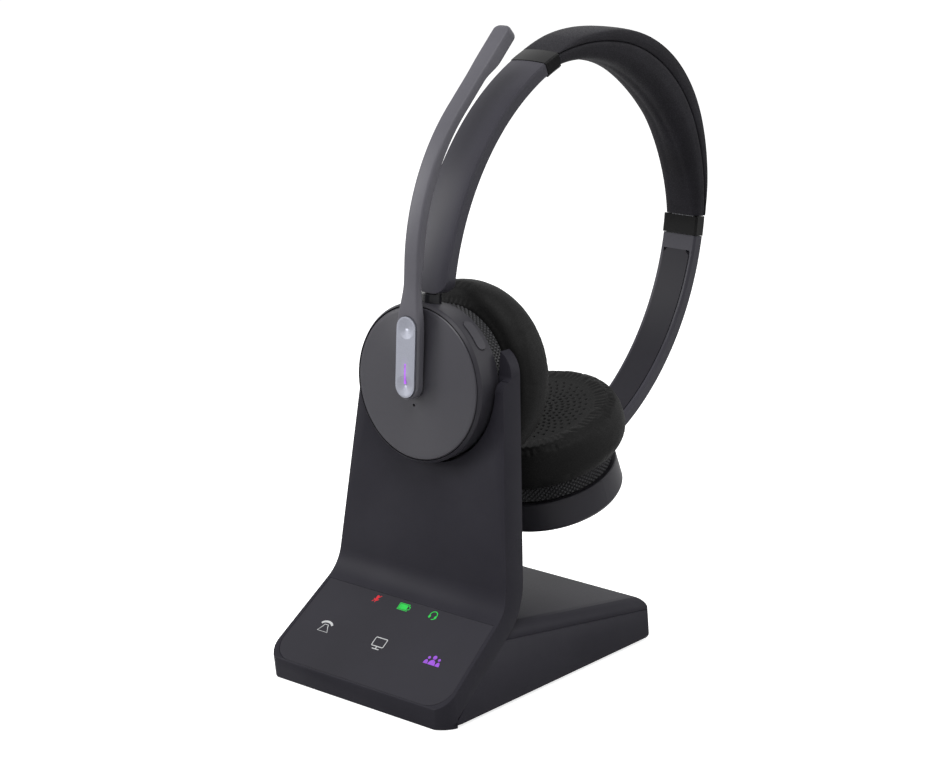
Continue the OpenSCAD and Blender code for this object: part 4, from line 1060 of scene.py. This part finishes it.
def pad_section(share):
    """Lens-shaped pad: a flat side wall and a soft, round underside."""
    half = half_width(share) - 0.08
    seam = seam_depth(share) + 0.08
    low = pad_depth(share)
    wall = low - seam
    soft = min(0.62 * wall, 5.5)
    foot = half - 0.32 * soft
    points = [(half - 0.9, -seam), (half - 0.35, -seam - 0.08), (half - 0.05, -seam - 0.5)]
    for i in range(1, 5):
        down = seam + 0.5 + (wall - soft - 0.5) * i / 5
        points.append((half - 0.05 + 0.12 * math.sin(math.pi * i / 5), -down))
    steps = 14
    for i in range(steps + 1):
        turn = math.pi / 2 * i / steps
        x = foot - soft * 0.9 + (half - foot + soft * 0.9) * math.cos(turn) ** 0.9
        h = -(low - soft) - soft * math.sin(turn) ** 0.95 * 0.93
        points.append((x, h))
    belly = points[-1][0]
    for i in range(1, 6):
        x = belly * (1 - i / 5)
        points.append((x, -low + soft * 0.07 * (x / belly) ** 2))
    left = [(-x, h) for x, h in reversed(points[:-1])]
    return points + left


band_leather = leatherette("band_leatherette", "#1f1e22", "#252429", grain=0.7, depth=0.03)
skin = swept("band_skin", skin_section)
skin.data.materials.append(band_leather)
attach(skin, "band")
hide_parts("band_cover")
belly = swept("band_padding", pad_section)
belly.data.materials.append(band_leather)
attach(belly, "band")
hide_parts("band_pad")


# ---- Stage: floor, lamps and camera ----
# A plain white sheet, a big softbox above, a tall one on the left and a
# narrow one behind; the camera stands in front and to the right.

bpy.ops.object.select_all(action="DESELECT")
bpy.ops.mesh.primitive_plane_add(size=6)
floor = bpy.context.view_layer.objects.active
floor.name = "floor"
floor_paper, tree = new_material("white_paper")
view = add(tree, "LightPath").outputs["Is Camera Ray"]
paper = add(tree, "BsdfDiffuse", {"Color": srgb("#e6e6e6")}).outputs["BSDF"]
level = add(tree, "Math", {"operation": "MULTIPLY", 1: 0.78}, {0: view}).outputs["Value"]
bright = add(tree, "Emission", {"Color": (1, 1, 1, 1)}, {"Strength": level}).outputs["Emission"]
blend = add(tree, "AddShader", links={0: paper, 1: bright})
add(tree, "OutputMaterial", links={"Surface": blend.outputs["Shader"]})
floor.data.materials.append(floor_paper)

world = bpy.data.worlds.new("studio")
bpy.context.scene.world = world
world.use_nodes = True
tree = world.node_tree
tree.nodes.clear()
rays = add(tree, "LightPath")
clear = add(tree, "Math", {"operation": "MAXIMUM"},
            {0: rays.outputs["Is Camera Ray"], 1: rays.outputs["Is Transmission Ray"]})
shown = add(tree, "Math", {"operation": "MAXIMUM"},
            {0: clear.outputs["Value"], 1: rays.outputs["Is Glossy Ray"]})
level = add(tree, "MapRange", {"To Min": 0.3, "To Max": 1.0},
            {"Value": shown.outputs["Value"]}).outputs["Result"]
sky = add(tree, "Background", {"Color": (1, 1, 1, 1)}, {"Strength": level})
add(tree, "OutputWorld", links={"Surface": sky.outputs["Background"]})


def softbox(name, place, aim, width, height, power):
    """A rectangular lamp that faces a point."""
    lamp = bpy.data.lights.new(name, "AREA")
    lamp.shape = "RECTANGLE"
    lamp.size = width
    lamp.size_y = height
    lamp.energy = power
    holder = bpy.data.objects.new(name, lamp)
    bpy.context.scene.collection.objects.link(holder)
    holder.location = place
    holder.rotation_euler = (Vector(aim) - Vector(place)).to_track_quat("-Z", "Y").to_euler()


softbox("top_box", (0.2, -0.3, 1.0), (0, 0, 0.08), 0.8, 0.6, 8)
softbox("left_box", (-0.85, -0.7, 0.55), (0, 0, 0.12), 0.3, 0.7, 8)
softbox("back_box", (0.7, 0.75, 0.55), (0, 0.05, 0.1), 0.3, 0.8, 3)

FOCAL_PX = 2339.5
IMAGE_W = 952
SENSOR = 36.0
camera_data = bpy.data.cameras.new("camera")
camera_data.sensor_width = SENSOR
camera_data.lens = FOCAL_PX / IMAGE_W * SENSOR
camera_data.clip_end = 20
camera = bpy.data.objects.new("camera", camera_data)
bpy.context.scene.collection.objects.link(camera)
camera.location = Vector((462.74, -544.20, 281.85)) * MM
camera.rotation_euler = Vector((-0.6212, 0.7403, -0.2571)).to_track_quat("-Z", "Y").to_euler()
bpy.context.scene.camera = camera
bpy.context.scene.view_settings.view_transform = "Standard"
